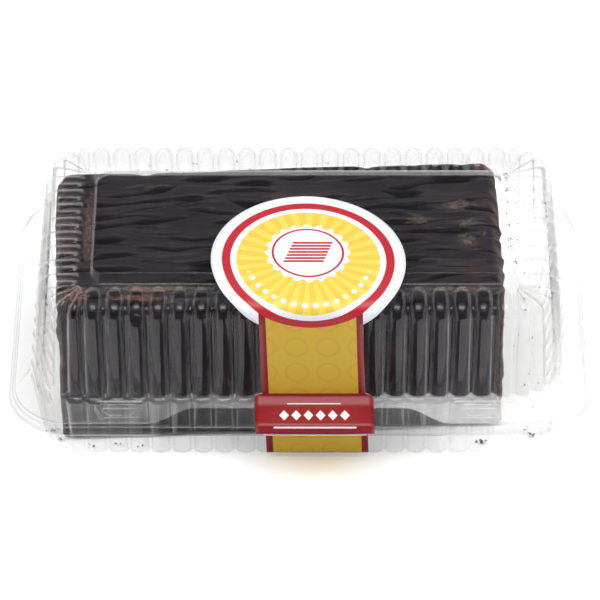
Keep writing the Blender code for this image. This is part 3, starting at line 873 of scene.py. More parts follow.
def dark_chocolate():
    """Dark compound chocolate, combed while soft."""
    material, tree = new_material("dark_chocolate_coating")
    place = add_node(tree, "TexCoord").outputs["Object"]
    along = add_node(tree, "Mapping", {
        "Vector": place, "Rotation": (0, 0, CAKE_TURN), "Scale": (SCRATCH_STRETCH, 1.0, 1.0)},
        vector_type="TEXTURE")
    patches = add_node(tree, "TexNoise", {
        "Vector": place, "Scale": 1 / (CHOCOLATE_PATCH * MM), "Detail": 4.0, "Roughness": 0.6})
    streaks = add_node(tree, "TexNoise", {
        "Vector": along, "Scale": 1 / (3.4 * MM), "Detail": 3.0, "Roughness": 0.6})
    grain = add_node(tree, "TexNoise", {
        "Vector": place, "Scale": 1 / (CHOCOLATE_GRAIN * MM), "Detail": 5.0, "Roughness": 0.7})
    tone = add_node(tree, "ValToRGB", {"Fac": patches})
    stops = tone.color_ramp.elements
    stops[0].position = 0.35
    stops[0].color = linear("#130f14")
    stops[1].position = 0.62
    stops[1].color = linear("#1e181d")
    stops.new(0.72).color = linear("#331d20")
    patch_share = add_node(tree, "MapRange", {
        "Value": streaks, "From Min": 0.55, "From Max": 0.8, "To Max": 0.35})
    colour = add_node(tree, "Mix", {
        0: patch_share, 6: tone, 7: linear("#332a30")}, data_type="RGBA")
    parts = add_node(tree, "SeparateXYZ", (place,))
    from_middle = add_node(tree, "Math", (parts.outputs[0], CAKE_X * MM), operation="SUBTRACT")
    off_middle = add_node(tree, "Math", (from_middle,), operation="ABSOLUTE")
    at_end = add_node(tree, "MapRange", {
        "Value": off_middle, "From Min": (CAKE_HALF_LENGTH - 5.0) * MM,
        "From Max": (CAKE_HALF_LENGTH - 0.5) * MM})
    thin = add_node(tree, "MapRange", {
        "Value": grain, "From Min": 0.42, "From Max": 0.62, "To Max": 0.8})
    thin_end = add_node(tree, "Math", (at_end, thin), operation="MULTIPLY")
    at_ends = add_node(tree, "Mix", {
        0: thin_end, 6: colour, 7: linear("#5c4034")}, data_type="RGBA")
    # Painted shade: the strokes are darker and their skin duller.
    strokes = add_node(tree, "Attribute", attribute_name="stroke_shade").outputs["Fac"]
    tear_and_shade = add_node(tree, "Mix", {0: strokes, 6: at_ends, 7: linear("#0c090b")}, data_type="RGBA")
    skin = add_node(tree, "MapRange", {"Value": strokes, "To Min": 0.31, "To Max": 0.08})
    normal = add_node(tree, "NewGeometry").outputs["Normal"]
    upright = add_node(tree, "SeparateXYZ", (normal,)).outputs[2]
    level = add_node(tree, "MapRange", {
        "Value": upright, "From Min": 0.35, "From Max": 0.75, "To Min": 0.35})
    specular = add_node(tree, "Math", (skin, level), operation="MULTIPLY")
    gloss = add_node(tree, "MapRange", {
        "Value": streaks, "From Min": 0.3, "From Max": 0.75, "To Min": 0.38, "To Max": 0.58})
    streak_bump = add_node(tree, "Bump", {
        "Height": streaks, "Strength": 0.4, "Distance": 0.35 * MM})
    bump = add_node(tree, "Bump", {
        "Height": grain, "Strength": 0.35, "Distance": 0.15 * MM,
        "Normal": streak_bump})
    shader = add_node(tree, "BsdfPrincipled", {
        "Base Color": tear_and_shade, "Roughness": gloss, "IOR": 1.46, "Specular IOR Level": specular,
        "Normal": bump})
    add_node(tree, "OutputMaterial", {"Surface": shader})
    return material


loaf.data.materials.append(dark_chocolate())
print("coated", loaf.name)

# %% [markdown]
# ## The label
# One piece of coated paper: a disc on the panel, a strip that bridges the ribs down the front and
# a wider tag over the flange and its skirt. It is cut at the skirt's edge so that the lid can
# open, and a second piece goes on down the tray's wall. Each sheet is a ladder of rows along a
# path in Y and Z, and every point also keeps its flat place on the paper, in mm, as a UV.
# %% The label's path
PAPER = 0.25
PAPER_GAP = 0.35
LABEL_X = 2.5
LABEL_LEAN = 0.032
DISC_RADIUS = 40.0
DISC_BACK_Y = tag_high.y + 0.1
STRIP_HALF = 21.25
TAG_HALF = 24.4
TAG_CORNER = 3.0
TAG_TOP_Z = 35.0
wall_y = -CORE_HALF_Y - PAPER_GAP

lid_path = rounded_line([
    (DISC_BACK_Y, PACK_HEIGHT + PAPER_GAP),
    (PANEL_FRONT_Y + 0.7, PACK_HEIGHT + PAPER_GAP, 3.0),
    (wall_y - 14.1 * LID_REACH[1][1], RIM_Z + 1.5, 5.6),
    (wall_y - 20.4, LID_FLANGE_Z + 2.2, 2.0),
    (wall_y - 24.5, LID_FLANGE_Z + PAPER_GAP, 2.0),
    (FRONT_Y + 1.2, TRAY_FLANGE_Z + 0.75, 1.2),
    (FRONT_Y - 0.1, tag_low.z)], steps=6)
tray_path = rounded_line([
    (FRONT_Y - 0.1, tag_low.z - 0.7),
    (FRONT_Y + 0.9, tag_low.z - 1.6, 0.5),
    (wall_y - 22.1, 18.0, 3.0),
    (wall_y - 21.1, 2.6, 1.0),
    (wall_y - 20.0, 0.9)], steps=4)


def path_lengths(path):
    """Distance along a path at each point."""
    steps = [math.dist(a, b) for a, b in zip(path, path[1:])]
    return np.concatenate([[0.0], np.cumsum(steps)])


LID_LENGTHS = path_lengths(lid_path)
print("label on the lid is", round(LID_LENGTHS[-1], 1), "mm long")


# %% Skin the label
def label_half_width(distance, tag_start):
    """Half the width of the label at a distance along it."""
    half = STRIP_HALF if distance > DISC_RADIUS else 0.02
    if distance < 2 * DISC_RADIUS:
        offset = distance - DISC_RADIUS
        half = max(half, math.sqrt(max(DISC_RADIUS ** 2 - offset ** 2, 0.0)))
    if distance >= tag_start:
        into = min(distance - tag_start, TAG_CORNER)
        half = TAG_HALF - TAG_CORNER + math.sqrt(TAG_CORNER ** 2 - (TAG_CORNER - into) ** 2)
    return half


def label_sheet(name, path, distances, halves, start):
    """A sheet of paper along a path, with its flat place in mm kept as a UV."""
    lengths = path_lengths(path)
    y = np.interp(distances, lengths, [p[0] for p in path])
    z = np.interp(distances, lengths, [p[1] for p in path])
    shares = np.linspace(-1.0, 1.0, 25)
    points = np.empty((len(distances), len(shares), 3))
    flat = np.empty((len(distances), len(shares), 2))
    for row, (distance, half) in enumerate(zip(distances, halves)):
        middle = LABEL_X + LABEL_LEAN * (start + distance)
        lift = 0.10 * np.sin(shares * 9.0 + distance * 0.21) + 0.08 * np.cos(distance * 0.33)
        points[row, :, 0] = middle + half * shares
        points[row, :, 1] = y[row] - np.abs(lift) * 0.3
        points[row, :, 2] = z[row] + np.abs(lift) * 0.4
        flat[row, :, 0] = half * shares
        flat[row, :, 1] = start + distance - DISC_RADIUS
    sheet = grid_object(name, points)
    layer = sheet.data.uv_layers.new(name="print_mm")
    corner_points = np.empty(len(sheet.data.loops), dtype=int)
    sheet.data.loops.foreach_get("vertex_index", corner_points)
    layer.data.foreach_set("uv", flat.reshape(-1, 2)[corner_points].ravel())
    give_thickness(sheet, PAPER, offset=0.0, material_offset=1, material_offset_rim=1)
    return sheet


tag_start = float(np.interp(-TAG_TOP_Z, [-p[1] for p in lid_path], LID_LENGTHS))
disc_rows = [DISC_RADIUS * (1 - math.cos(math.pi * s / 60)) for s in range(61)]
meets_strip = DISC_RADIUS + math.sqrt(DISC_RADIUS ** 2 - STRIP_HALF ** 2)
corner_rows = [TAG_CORNER * (1 - math.cos(s / 8 * math.pi / 2)) for s in range(9)]
tag_rows = [tag_start - 0.02] + [tag_start + row for row in corner_rows]
lid_stops = [d for d in disc_rows if d < meets_strip] + [meets_strip] + tag_rows
lid_stops += list(np.arange(meets_strip + 0.8, LID_LENGTHS[-1], 1.0)) + [LID_LENGTHS[-1]]
lid_stops = np.array(sorted(lid_stops))
lid_halves = [label_half_width(d, tag_start) for d in lid_stops]
label_lid = label_sheet("printed_label_lid", lid_path, lid_stops, lid_halves, 0.0)
tray_stops = np.arange(0.0, path_lengths(tray_path)[-1], 0.8)
tray_halves = [STRIP_HALF] * len(tray_stops)
tray_start = LID_LENGTHS[-1] + 1.0
label_tray = label_sheet("printed_label_tray", tray_path, tray_stops, tray_halves, tray_start)
for sheet, body, node in ((label_lid, "cover", "label_lid"), (label_tray, "base", "label_tray")):
    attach(sheet, body)
    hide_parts(node)
    print(sheet.name, "rides on", body)

# %% [markdown]
# ## Printed coated paper
# Coated label paper is smooth with a half gloss varnish. The print is plain bakery ornament drawn
# by formulas on the flat place of each point: rings, a sunburst, a scalloped roundel with a
# layered slice in it, and rules and lozenges on the tag. Distances in the print are real mm.
# %% Print helpers
YELLOW = "#c8ab3d"
YELLOW_LIGHT = "#d0b74f"
RED = "#a21b27"
WHITE = "#cbccd1"
# The strip's and the tag's inks are painted darker than the disc's, as the shade on the front of
# the pack.
STRIP_YELLOW_SHADED = "#b99727"
STRIP_RING_SHADED = "#b39125"
STRIP_RED_SHADED = "#7a131c"
TAG_V = tag_start - DISC_RADIUS
TAG_END_V = LID_LENGTHS[-1] - DISC_RADIUS + 0.5


def both(tree, *masks):
    """A mask that is 1 where all masks are 1."""
    result = masks[0]
    for mask in masks[1:]:
        result = add_node(tree, "Math", (result, mask), operation="MULTIPLY")
    return result


def between(tree, value, low, high):
    """A mask that is 1 where a value lies between two numbers."""
    over = add_node(tree, "Math", (value, low), operation="GREATER_THAN")
    under = add_node(tree, "Math", (value, high), operation="LESS_THAN")
    return both(tree, under, over)


def distance(tree, across, along):
    """The length of the step (across, along)."""
    across_squared = add_node(tree, "Math", (across, across), operation="MULTIPLY")
    along_squared = add_node(tree, "Math", (along, along), operation="MULTIPLY")
    total = add_node(tree, "Math", (across_squared, along_squared), operation="ADD")
    return add_node(tree, "Math", (total,), operation="SQRT")


def printed(tree, paper, layers):
    """Prints inks, each with its mask, one over another on a colour."""
    colour = linear(paper)
    for ink, mask in layers:
        colour = add_node(tree, "Mix", {0: mask, 6: colour, 7: linear(ink)}, data_type="RGBA")
    return colour


print("tag starts", round(TAG_V, 1), "mm from the disc's centre")


# %% Print of the disc
RAYS = 28.0
BEADS = 36
BEAD_RING = 25.5
BEAD_RADIUS = 1.15
SLICE_DOWN = 4.5
SLICE_HALF = (8.2, 6.65)
SLICE_LAYER = 1.9
RING_EDGES = (29.5, 32.0, 35.5)


def disc_print(tree, u, v):
    """Rings, sunburst, roundel with a layered slice, and an arc of dots."""
    radius = distance(tree, u, v)
    angle = add_node(tree, "Math", (v, u), operation="ARCTAN2")
    turns = add_node(tree, "Math", (angle, RAYS), operation="MULTIPLY")
    wave = add_node(tree, "Math", (turns,), operation="SINE")
    rays = add_node(tree, "Math", (wave, 0.0), operation="GREATER_THAN")

    bead_angle = add_node(tree, "Math", (angle, BEADS / (2 * math.pi)), operation="MULTIPLY")
    bead_share = add_node(tree, "Math", (bead_angle,), operation="FRACT")
    off_bead = add_node(tree, "Math", (bead_share, 0.5), operation="SUBTRACT")
    bead_pitch = BEAD_RING * 2 * math.pi / BEADS
    bead_x = add_node(tree, "Math", (off_bead, bead_pitch), operation="MULTIPLY")
    bead_y = add_node(tree, "Math", (radius, BEAD_RING), operation="SUBTRACT")
    bead_size = distance(tree, bead_x, bead_y)
    small = add_node(tree, "Math", (bead_size, BEAD_RADIUS), operation="LESS_THAN")
    in_front = add_node(tree, "Math", (v, 7.0), operation="GREATER_THAN")

    slice_v = add_node(tree, "Math", (v, SLICE_DOWN), operation="ADD")
    around = distance(tree, u, slice_v)
    turn = add_node(tree, "Math", (slice_v, u), operation="ARCTAN2")
    teeth = add_node(tree, "Math", (turn, 20.0), operation="MULTIPLY")
    tooth = add_node(tree, "Math", (teeth,), operation="COSINE")
    edge = add_node(tree, "Math", (tooth, 0.8, 17.0), operation="MULTIPLY_ADD")
    roundel = add_node(tree, "Math", (around, edge), operation="LESS_THAN")

    lean_u = add_node(tree, "Math", (slice_v, 0.35, u), operation="MULTIPLY_ADD")
    wide = add_node(tree, "Math", (lean_u,), operation="ABSOLUTE")
    high = add_node(tree, "Math", (slice_v,), operation="ABSOLUTE")
    in_wide = add_node(tree, "Math", (wide, SLICE_HALF[0]), operation="LESS_THAN")
    in_high = add_node(tree, "Math", (high, SLICE_HALF[1]), operation="LESS_THAN")
    from_foot = add_node(tree, "Math", (slice_v, SLICE_HALF[1]), operation="ADD")
    layers = add_node(tree, "Math", (from_foot, 1 / SLICE_LAYER), operation="MULTIPLY")
    layer = add_node(tree, "Math", (layers,), operation="FRACT")
    sponge = add_node(tree, "Math", (layer, 0.62), operation="LESS_THAN")

    beyond = [
        add_node(tree, "Math", (radius, edge_at), operation="GREATER_THAN")
        for edge_at in RING_EDGES]
    return radius, printed(tree, YELLOW, (
        (YELLOW_LIGHT, rays),
        (WHITE, both(tree, small, in_front)),
        (WHITE, roundel),
        (RED, between(tree, around, 14.0, 14.9)),
        (RED, both(tree, in_wide, in_high, sponge)),
        (WHITE, beyond[0]),
        (RED, beyond[1]),
        (WHITE, beyond[2]),
    ))


# %% Print of the strip and the tag
STRIP_CELL = 13.0
STRIP_BORDER = 2.8
RULES = ((4.6, 0.22, 11.0), (17.4, 0.35, 17.0))
LOZENGE_PITCH = 5.0
LOZENGE_DOWN = 11.0


def strip_print(tree, u, v):
    """A yellow strip with red borders and faint rings, and a red tag with rules and lozenges."""
    cell = []
    for side in (u, v):
        cells = add_node(tree, "Math", (side, 1 / STRIP_CELL), operation="MULTIPLY")
        share = add_node(tree, "Math", (cells,), operation="FRACT")
        cell.append(add_node(tree, "Math", (share, 0.5), operation="SUBTRACT"))
    inside = add_node(tree, "Math", (u,), operation="ABSOLUTE")
    border = add_node(tree, "Math", (inside, STRIP_HALF - STRIP_BORDER), operation="GREATER_THAN")
    layers = [
        (STRIP_RING_SHADED, between(tree, distance(tree, *cell), 0.30, 0.40)),
        (STRIP_RED_SHADED, border),
        (STRIP_RED_SHADED, between(tree, v, TAG_V - 0.1, TAG_END_V)),
    ]
    down = add_node(tree, "Math", (v, TAG_V), operation="SUBTRACT")
    for rule_at, rule_half, rule_length in RULES:
        off_rule = add_node(tree, "Math", (down, rule_at), operation="SUBTRACT")
        near = add_node(tree, "Math", (off_rule,), operation="ABSOLUTE")
        on_rule = add_node(tree, "Math", (near, rule_half), operation="LESS_THAN")
        in_length = add_node(tree, "Math", (inside, rule_length), operation="LESS_THAN")
        layers.append((WHITE, both(tree, on_rule, in_length)))

    from_left = add_node(tree, "Math", (u, 30.0), operation="ADD")
    pitches = add_node(tree, "Math", (from_left, 1 / LOZENGE_PITCH), operation="MULTIPLY")
    share = add_node(tree, "Math", (pitches,), operation="FRACT")
    off_lozenge = add_node(tree, "Math", (share, 0.5), operation="SUBTRACT")
    step = add_node(tree, "Math", (off_lozenge,), operation="ABSOLUTE")
    below = add_node(tree, "Math", (down, LOZENGE_DOWN), operation="SUBTRACT")
    steep = add_node(tree, "Math", (below, 0.14), operation="MULTIPLY")
    rise = add_node(tree, "Math", (steep,), operation="ABSOLUTE")
    reach = add_node(tree, "Math", (step, rise), operation="ADD")
    on_lozenge = add_node(tree, "Math", (reach, 0.40), operation="LESS_THAN")
    in_row = add_node(tree, "Math", (inside, 15.0), operation="LESS_THAN")
    layers.append((WHITE, both(tree, on_lozenge, in_row)))
    return printed(tree, STRIP_YELLOW_SHADED, layers)


# %% Coated paper and its plain back
def printed_paper():
    """Coated label paper with its print."""
    material, tree = new_material("printed_coated_paper")
    flat = add_node(tree, "UVMap", uv_map="print_mm")
    parts = add_node(tree, "SeparateXYZ", {0: flat})
    u, v = parts.outputs[0], parts.outputs[1]
    radius, disc = disc_print(tree, u, v)
    strip = strip_print(tree, u, v)
    beyond_ring = add_node(tree, "Math", (radius, RING_EDGES[-1]), operation="GREATER_THAN")
    below = add_node(tree, "Math", (v, 25.0), operation="GREATER_THAN")
    aside = add_node(tree, "Math", (u,), operation="ABSOLUTE")
    in_width = add_node(tree, "Math", (aside, STRIP_HALF), operation="LESS_THAN")
    past_disc = add_node(tree, "Math", (v, DISC_RADIUS), operation="GREATER_THAN")
    beside_disc = both(tree, beyond_ring, below, in_width)
    on_strip = add_node(tree, "Math", (beside_disc, past_disc), operation="MAXIMUM")
    colour = add_node(tree, "Mix", {0: on_strip, 6: disc, 7: strip}, data_type="RGBA")
    fibre = add_node(tree, "TexNoise", {"Vector": flat, "Scale": 1.2, "Detail": 4.0})
    buckle = add_node(tree, "TexNoise", {"Vector": flat, "Scale": 0.07, "Detail": 1.0})
    fibre_bump = add_node(tree, "Bump", {
        "Height": fibre, "Strength": 0.12, "Distance": 0.05 * MM})
    bump = add_node(tree, "Bump", {
        "Height": buckle, "Strength": 0.4, "Distance": 0.8 * MM,
        "Normal": fibre_bump})
    gloss = add_node(tree, "MapRange", {"Value": fibre, "To Min": 0.3, "To Max": 0.42})
    shader = add_node(tree, "BsdfPrincipled", {
        "Base Color": colour, "Roughness": gloss, "IOR": 1.5, "Normal": bump})
    add_node(tree, "OutputMaterial", {"Surface": shader})
    return material


def plain_paper():
    """The uncoated white back and cut edge of label paper."""
    material, tree = new_material("plain_paper_back")
    place = add_node(tree, "TexCoord").outputs["Object"]
    fibre = add_node(tree, "TexNoise", {"Vector": place, "Scale": 1 / (0.8 * MM), "Detail": 5.0})
    tone = add_node(tree, "Mix", {
        0: fibre, 6: linear("#e4e2dd"), 7: linear("#f3f2ee")}, data_type="RGBA")
    bump = add_node(tree, "Bump", {
        "Height": fibre, "Strength": 0.2, "Distance": 0.05 * MM})
    shader = add_node(tree, "BsdfPrincipled", {
        "Base Color": tone, "Roughness": 0.8, "IOR": 1.5, "Normal": bump})
    add_node(tree, "OutputMaterial", {"Surface": shader})
    return material


paper_faces = (printed_paper(), plain_paper())
for sheet in (label_lid, label_tray):
    for material in paper_faces:
        sheet.data.materials.append(material)
print("printed", label_lid.name, "and", label_tray.name)

# %% [markdown]
# ## Smears on the inside of the lid
# While it was packed and moved, the loaf touched the lid and left thin brown smears, mostly at
# the left end and along the front of the panel. Each is a level film just under the sheet. Its
# material thins out towards the border, and noise decides where the film is torn.
# %% Smear helpers
def cocoa_film(name, light, dark, strength, cover, middle, half, stretch):
    """A thin greasy film of cocoa cream over a rectangle in mm, see through where it is thin."""
    material, tree = new_material(name)
    place = add_node(tree, "TexCoord").outputs["Object"]
    parts = add_node(tree, "SeparateXYZ", {0: place})
    inside = []
    for axis in (0, 1):
        offset = add_node(
            tree, "Math", (parts.outputs[axis], middle[axis] * MM), operation="SUBTRACT")
        off_middle = add_node(tree, "Math", (offset,), operation="ABSOLUTE")
        inside.append(add_node(tree, "MapRange", {
            "Value": off_middle, "From Min": half[axis] * MM, "From Max": 0.15 * half[axis] * MM}))
    along = add_node(tree, "Mapping", {
        "Vector": place, "Scale": (stretch, 1.0, 1.0)}, vector_type="TEXTURE")
    cloud = add_node(tree, "TexNoise", {
        "Vector": along, "Scale": 1 / (2.2 * MM), "Detail": 8.0, "Roughness": 0.80})
    tear_and_shade = add_node(tree, "MapRange", {
        "Value": both(tree, *inside), "To Min": 0.74, "To Max": 0.72 - 0.30 * cover})
    above = add_node(tree, "Math", (cloud, tear_and_shade), operation="SUBTRACT")
    amount = add_node(tree, "MapRange", {"Value": above, "From Max": 0.22, "To Max": strength})
    tone = add_node(tree, "MapRange", {"Value": cloud, "From Min": 0.4, "From Max": 0.65})
    colour = add_node(tree, "Mix", {
        0: tone, 6: linear(dark), 7: linear(light)}, data_type="RGBA")
    film = add_node(tree, "BsdfPrincipled", {
        "Base Color": colour, "Roughness": 0.5, "IOR": 1.46})
    clear = add_node(tree, "BsdfTransparent")
    shader = add_node(tree, "MixShader", (amount, clear, film))
    add_node(tree, "OutputMaterial", {"Surface": shader})
    return material


def smear(name, middle, half, z, look, strength, cover, stretch):
    """A level film under the lid, from its middle and half size in mm."""
    steps_x = np.linspace(-half[0], half[0], max(int(half[0]), 2) + 1)
    steps_y = np.linspace(-half[1], half[1], max(int(half[1]), 2) + 1)
    x, y = np.meshgrid(middle[0] + steps_x, middle[1] + steps_y)
    film = grid_object(name, np.stack([x, y, np.full(x.shape, z)], axis=-1))
    give_thickness(film, 0.06)
    film.data.materials.append(cocoa_film(
        "cocoa_film_" + name, *look, strength, cover, middle, half, stretch))
    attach(film, "cover")


# %% Smear the lid
BROWN = ("#5a4337", "#3d2c27")
ORANGE = ("#6c4634", "#47302a")
PALE = ("#786659", "#4c4242")
under_rim = RIM_Z - SHEET - 0.35
under_ribs = RIM_Z - GROOVE_ON_RIM - SHEET - 0.3
under_panel = PACK_HEIGHT - SHEET - 0.35
SMEARS = (
    ("smear_left_strip", (-87.8, 0.0), (5.0, 42.0), under_rim, BROWN, 0.80, 1.40, 0.6),
    ("smear_left_ribs", (-95.5, -4.0), (9.0, 42.0), under_ribs, BROWN, 0.55, 1.00, 1.5),
    ("smear_front_corner", (-91.0, -40.0), (12.0, 9.0), under_ribs, ORANGE, 0.90, 1.45, 1.5),
    ("smear_front_band_left", (-58.0, -36.6), (34.0, 4.5), under_rim, BROWN, 0.90, 1.50, 3.0),
    ("smear_front_band_right", (63.0, -36.6), (28.0, 4.5), under_rim, BROWN, 0.60, 1.25, 3.0),
    ("smear_front_ribs", (-66.0, -41.5), (32.0, 5.0), under_ribs, ORANGE, 0.65, 1.20, 1.0),
    ("smear_panel_a", (66.0, 11.5), (14.0, 8.0), under_panel, PALE, 0.45, 1.15, 1.3),
    ("smear_panel_b", (70.0, 0.0), (11.0, 7.0), under_panel, PALE, 0.45, 1.15, 1.1),
    ("smear_panel_c", (69.5, -11.0), (9.0, 10.0), under_panel, PALE, 0.45, 1.15, 0.8),
    ("smear_panel_d", (49.0, 2.0), (11.0, 8.0), under_panel, PALE, 0.40, 1.10, 1.1),
)
for entry in SMEARS:
    smear(*entry)
print(len(SMEARS), "smears, the longest", max(2 * max(entry[2]) for entry in SMEARS), "mm")

# %% [markdown]
# ## Crumbs
# Fine crumbs of the coating stick to the inside of the lid and lie in the tray. Each one is a
# small lump with its corners pushed about, at its true size, and all crumbs on one body are joined
# into one mesh.
# %% Crumb helper
draw = random.Random(MODEL_SEED)


def add_crumb(bm, place, size, flatten=1.0):
    """Adds one crumb of a size in mm at a place in mm."""
    made = bmesh.ops.create_icosphere(bm, subdivisions=1, radius=size / 2 * MM)
    stretch = Vector([draw.uniform(0.55, 1.3) for _ in range(3)])
    stretch.z *= flatten
    for vert in made["verts"]:
        push = draw.uniform(0.75, 1.2)
        vert.co = Vector([a * b for a, b in zip(vert.co, stretch)]) * push + Vector(place) * MM


def crumb_object(name, body, bm, material):
    """Finishes a mesh of crumbs."""
    mesh = bpy.data.meshes.new(name)
    bm.to_mesh(mesh)
    bm.free()
    mesh.materials.append(material)
    crumbs = bpy.data.objects.new(name, mesh)
    bpy.context.scene.collection.objects.link(crumbs)
    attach(crumbs, body)
    print(name, len(mesh.polygons), "faces")
    return crumbs


def crumb_chocolate():
    """Dry dark crumbs with a rough skin."""
    material, tree = new_material("chocolate_crumbs")
    place = add_node(tree, "TexCoord").outputs["Object"]
    grain = add_node(tree, "TexNoise", {"Vector": place, "Scale": 1 / (0.5 * MM), "Detail": 4.0})
    tone = add_node(tree, "Mix", {
        0: grain, 6: linear("#241b1a"), 7: linear("#4b3a33")}, data_type="RGBA")
    bump = add_node(tree, "Bump", {
        "Height": grain, "Strength": 0.5, "Distance": 0.1 * MM})
    shader = add_node(tree, "BsdfPrincipled", {
        "Base Color": tone, "Roughness": 0.7, "Normal": bump})
    add_node(tree, "OutputMaterial", {"Surface": shader})
    return material


# %% Scatter the crumbs
def wall_out(z):
    """How far out the lid's grooves stand at a height, at the sides."""
    heights = [-point[1] for point in groove_line]
    outs = [point[0] for point in groove_line]
    return float(np.interp(-z, heights, outs) * np.interp(z, LID_HEIGHTS, LID_REACH[0]))


crumb_look = crumb_chocolate()
on_lid = bmesh.new()
for _ in range(120):
    z = draw.uniform(38, 74)
    y = draw.triangular(-46, 20, -34)
    inside = min(max(abs(y) - CORE_HALF_Y, 0.0), 12.0)
    out = math.sqrt(max((wall_out(z) - 0.9) ** 2 - inside ** 2, 1.0))
    add_crumb(on_lid, (-CORE_HALF_X - out, y, z), draw.uniform(0.25, 0.8))
for _ in range(70):
    z = draw.uniform(36, 74)
    y = draw.triangular(-46, 40, -10)
    inside = min(max(abs(y) - CORE_HALF_Y, 0.0), 12.0)
    out = math.sqrt(max((wall_out(z) - 0.9) ** 2 - inside ** 2, 1.0))
    add_crumb(on_lid, (CORE_HALF_X + out, y, z), draw.uniform(0.3, 0.8))
for flute in range(SHORT_FLUTES + 1):
    y = -CORE_HALF_Y + flute * FLUTE_PITCH
    for _ in range(draw.randint(3, 9)):
        place = (CORE_HALF_X + draw.uniform(0, 13), y + draw.uniform(-0.5, 0.5), under_ribs)
        add_crumb(on_lid, place, draw.uniform(0.2, 0.7), flatten=0.5)
for y in (36.0, 33.0, 26.0, 17.0, 10.5, 4.0, -6.5, -11.0, -20.0):
    for _ in range(draw.randint(8, 14)):
        place = (draw.triangular(PANEL_HALF_X + 1.0, 92.0, 86.5), y + draw.gauss(0, 0.9), under_rim)
        add_crumb(on_lid, place, draw.uniform(0.25, 0.9), flatten=0.5)
for _ in range(40):
    place = (draw.uniform(-84, 84), draw.uniform(36, 45), under_rim - 0.5)
    add_crumb(on_lid, place, draw.uniform(0.3, 1.0), flatten=0.5)
crumb_object("crumbs_on_lid", "cover", on_lid, crumb_look)

in_tray = bmesh.new()
for _ in range(24):
    place = (draw.triangular(88, 103, 101), draw.uniform(-44, 42), SHEET + 0.35)
    add_crumb(in_tray, place, draw.uniform(0.3, 1.1), flatten=0.6)
for middle_x, middle_y, count in (
        (-103.0, -42.0, 9), (-100.0, -48.0, 5), (-86.0, -51.0, 2), (-76.0, -50.0, 2),
        (-68.0, -51.5, 2), (77.0, -49.0, 9), (98.0, -45.0, 5)):
    for _ in range(count):
        place = (middle_x + draw.gauss(0, 1.3), middle_y + draw.gauss(0, 0.7), SHEET + 0.35)
        add_crumb(in_tray, place, draw.uniform(0.6, 1.5), flatten=0.6)
crumb_object("crumbs_in_tray", "base", in_tray, crumb_look)

# %% [markdown]
# ## Floor, lights and camera
# The pack stands on a plain white sweep. Two large soft boxes high at the left and right light it
# evenly. Mirrors don't see them, because from the side they would hide the loaf behind glare. A
# box overhead puts the bright spot on the shoulder of each rib, and a pale ceiling fills in. The
# wall behind is pale low down and dim higher up, so the level panel mirrors little and shows the
# dark loaf. Far in front, and in a wedge right before the pack, the mirrors in the clear sheet
# don't see the floor, as if black cloths lay there: they give each rib its dark side.
# %% Floor
FLOOR_HALF = 3.0
MIRRORED = [(-0.62, -0.05), (-0.62, 0.55), (0.62, 0.55), (0.62, -0.05)]
MIRRORED_FRONT = [(0.20, -0.265), (0.024, -0.265), (0.024, -0.17), (0.060, -0.075)]


def floor_material():
    """Matt white paper sweep."""
    material, tree = new_material("white_paper_sweep")
    place = add_node(tree, "TexCoord").outputs["Object"]
    grain = add_node(tree, "TexNoise", {"Vector": place, "Scale": 400.0, "Detail": 3.0})
    tone = add_node(tree, "Mix", {
        0: grain, 6: linear("#fbfbfb"), 7: linear("#fefefe")}, data_type="RGBA")
    shader = add_node(tree, "BsdfPrincipled", {
        "Base Color": tone, "Roughness": 0.9, "Specular IOR Level": 0.2})
    add_node(tree, "OutputMaterial", {"Surface": shader})
    return material


def floor_piece(name, faces, mirrored):
    """Level faces of the sweep from lists of (x, y) in metres."""
    points = [(x, y, 0.0) for face in faces for x, y in face]
    starts = np.cumsum([0] + [len(face) for face in faces])
    rings = [tuple(range(starts[i], starts[i + 1])) for i in range(len(faces))]
    mesh = bpy.data.meshes.new(name)
    mesh.from_pydata(points, [], rings)
    mesh.materials.append(sweep)
    piece = bpy.data.objects.new(name, mesh)
    piece.location.z = -0.0003
    piece.visible_glossy = mirrored
    bpy.context.scene.collection.objects.link(piece)


sweep = floor_material()
left_front = [(-x, y) for x, y in MIRRORED_FRONT]
seen = [
    MIRRORED,
    [(0.62, -0.05), (0.62, -0.265)] + MIRRORED_FRONT[1:] + [(0.060, -0.05)],
    [(-0.62, -0.05), (-0.62, -0.265)] + left_front[1:] + [(-0.060, -0.05)],
]
wedge = [(-0.060, -0.05), (-0.060, -0.075), (-0.024, -0.17), (-0.024, -0.265),
         (0.024, -0.265), (0.024, -0.17), (0.060, -0.075), (0.060, -0.05)]
far = FLOOR_HALF
unseen = [
    wedge,
    [(-far, -far), (far, -far), (far, -0.265), (-far, -0.265)],
    [(-far, 0.55), (far, 0.55), (far, far), (-far, far)],
    [(-far, -0.265), (-0.62, -0.265), (-0.62, 0.55), (-far, 0.55)],
    [(0.62, -0.265), (far, -0.265), (far, 0.55), (0.62, 0.55)],
]
floor_piece("floor_near", seen, True)
floor_piece("floor_far", unseen, False)
print("floor", 2 * FLOOR_HALF, "m wide")


# %% Lights
PACK_MIDDLE = (0, 0, 0.05)


def soft_box(name, place, width, height, power, mirrored=True):
    """A rectangular area light that faces the pack, in metres and watts."""
    data = bpy.data.lights.new(name, "AREA")
    data.shape = "RECTANGLE"
    data.size = width
    data.size_y = height
    data.energy = power
    light = bpy.data.objects.new(name, data)
    light.location = place
    towards_pack = Vector(PACK_MIDDLE) - Vector(place)
    light.rotation_euler = towards_pack.to_track_quat("-Z", "Y").to_euler()
    light.visible_glossy = mirrored
    bpy.context.scene.collection.objects.link(light)


soft_box("soft_box_left", (-0.92, -0.30, 0.97), 1.3, 1.3, 12.8, mirrored=False)
soft_box("soft_box_right", (0.92, -0.30, 0.97), 1.3, 1.3, 12.8, mirrored=False)
soft_box("soft_box_above", (0.0, -0.05, 1.30), 0.8, 0.6, 6.0)

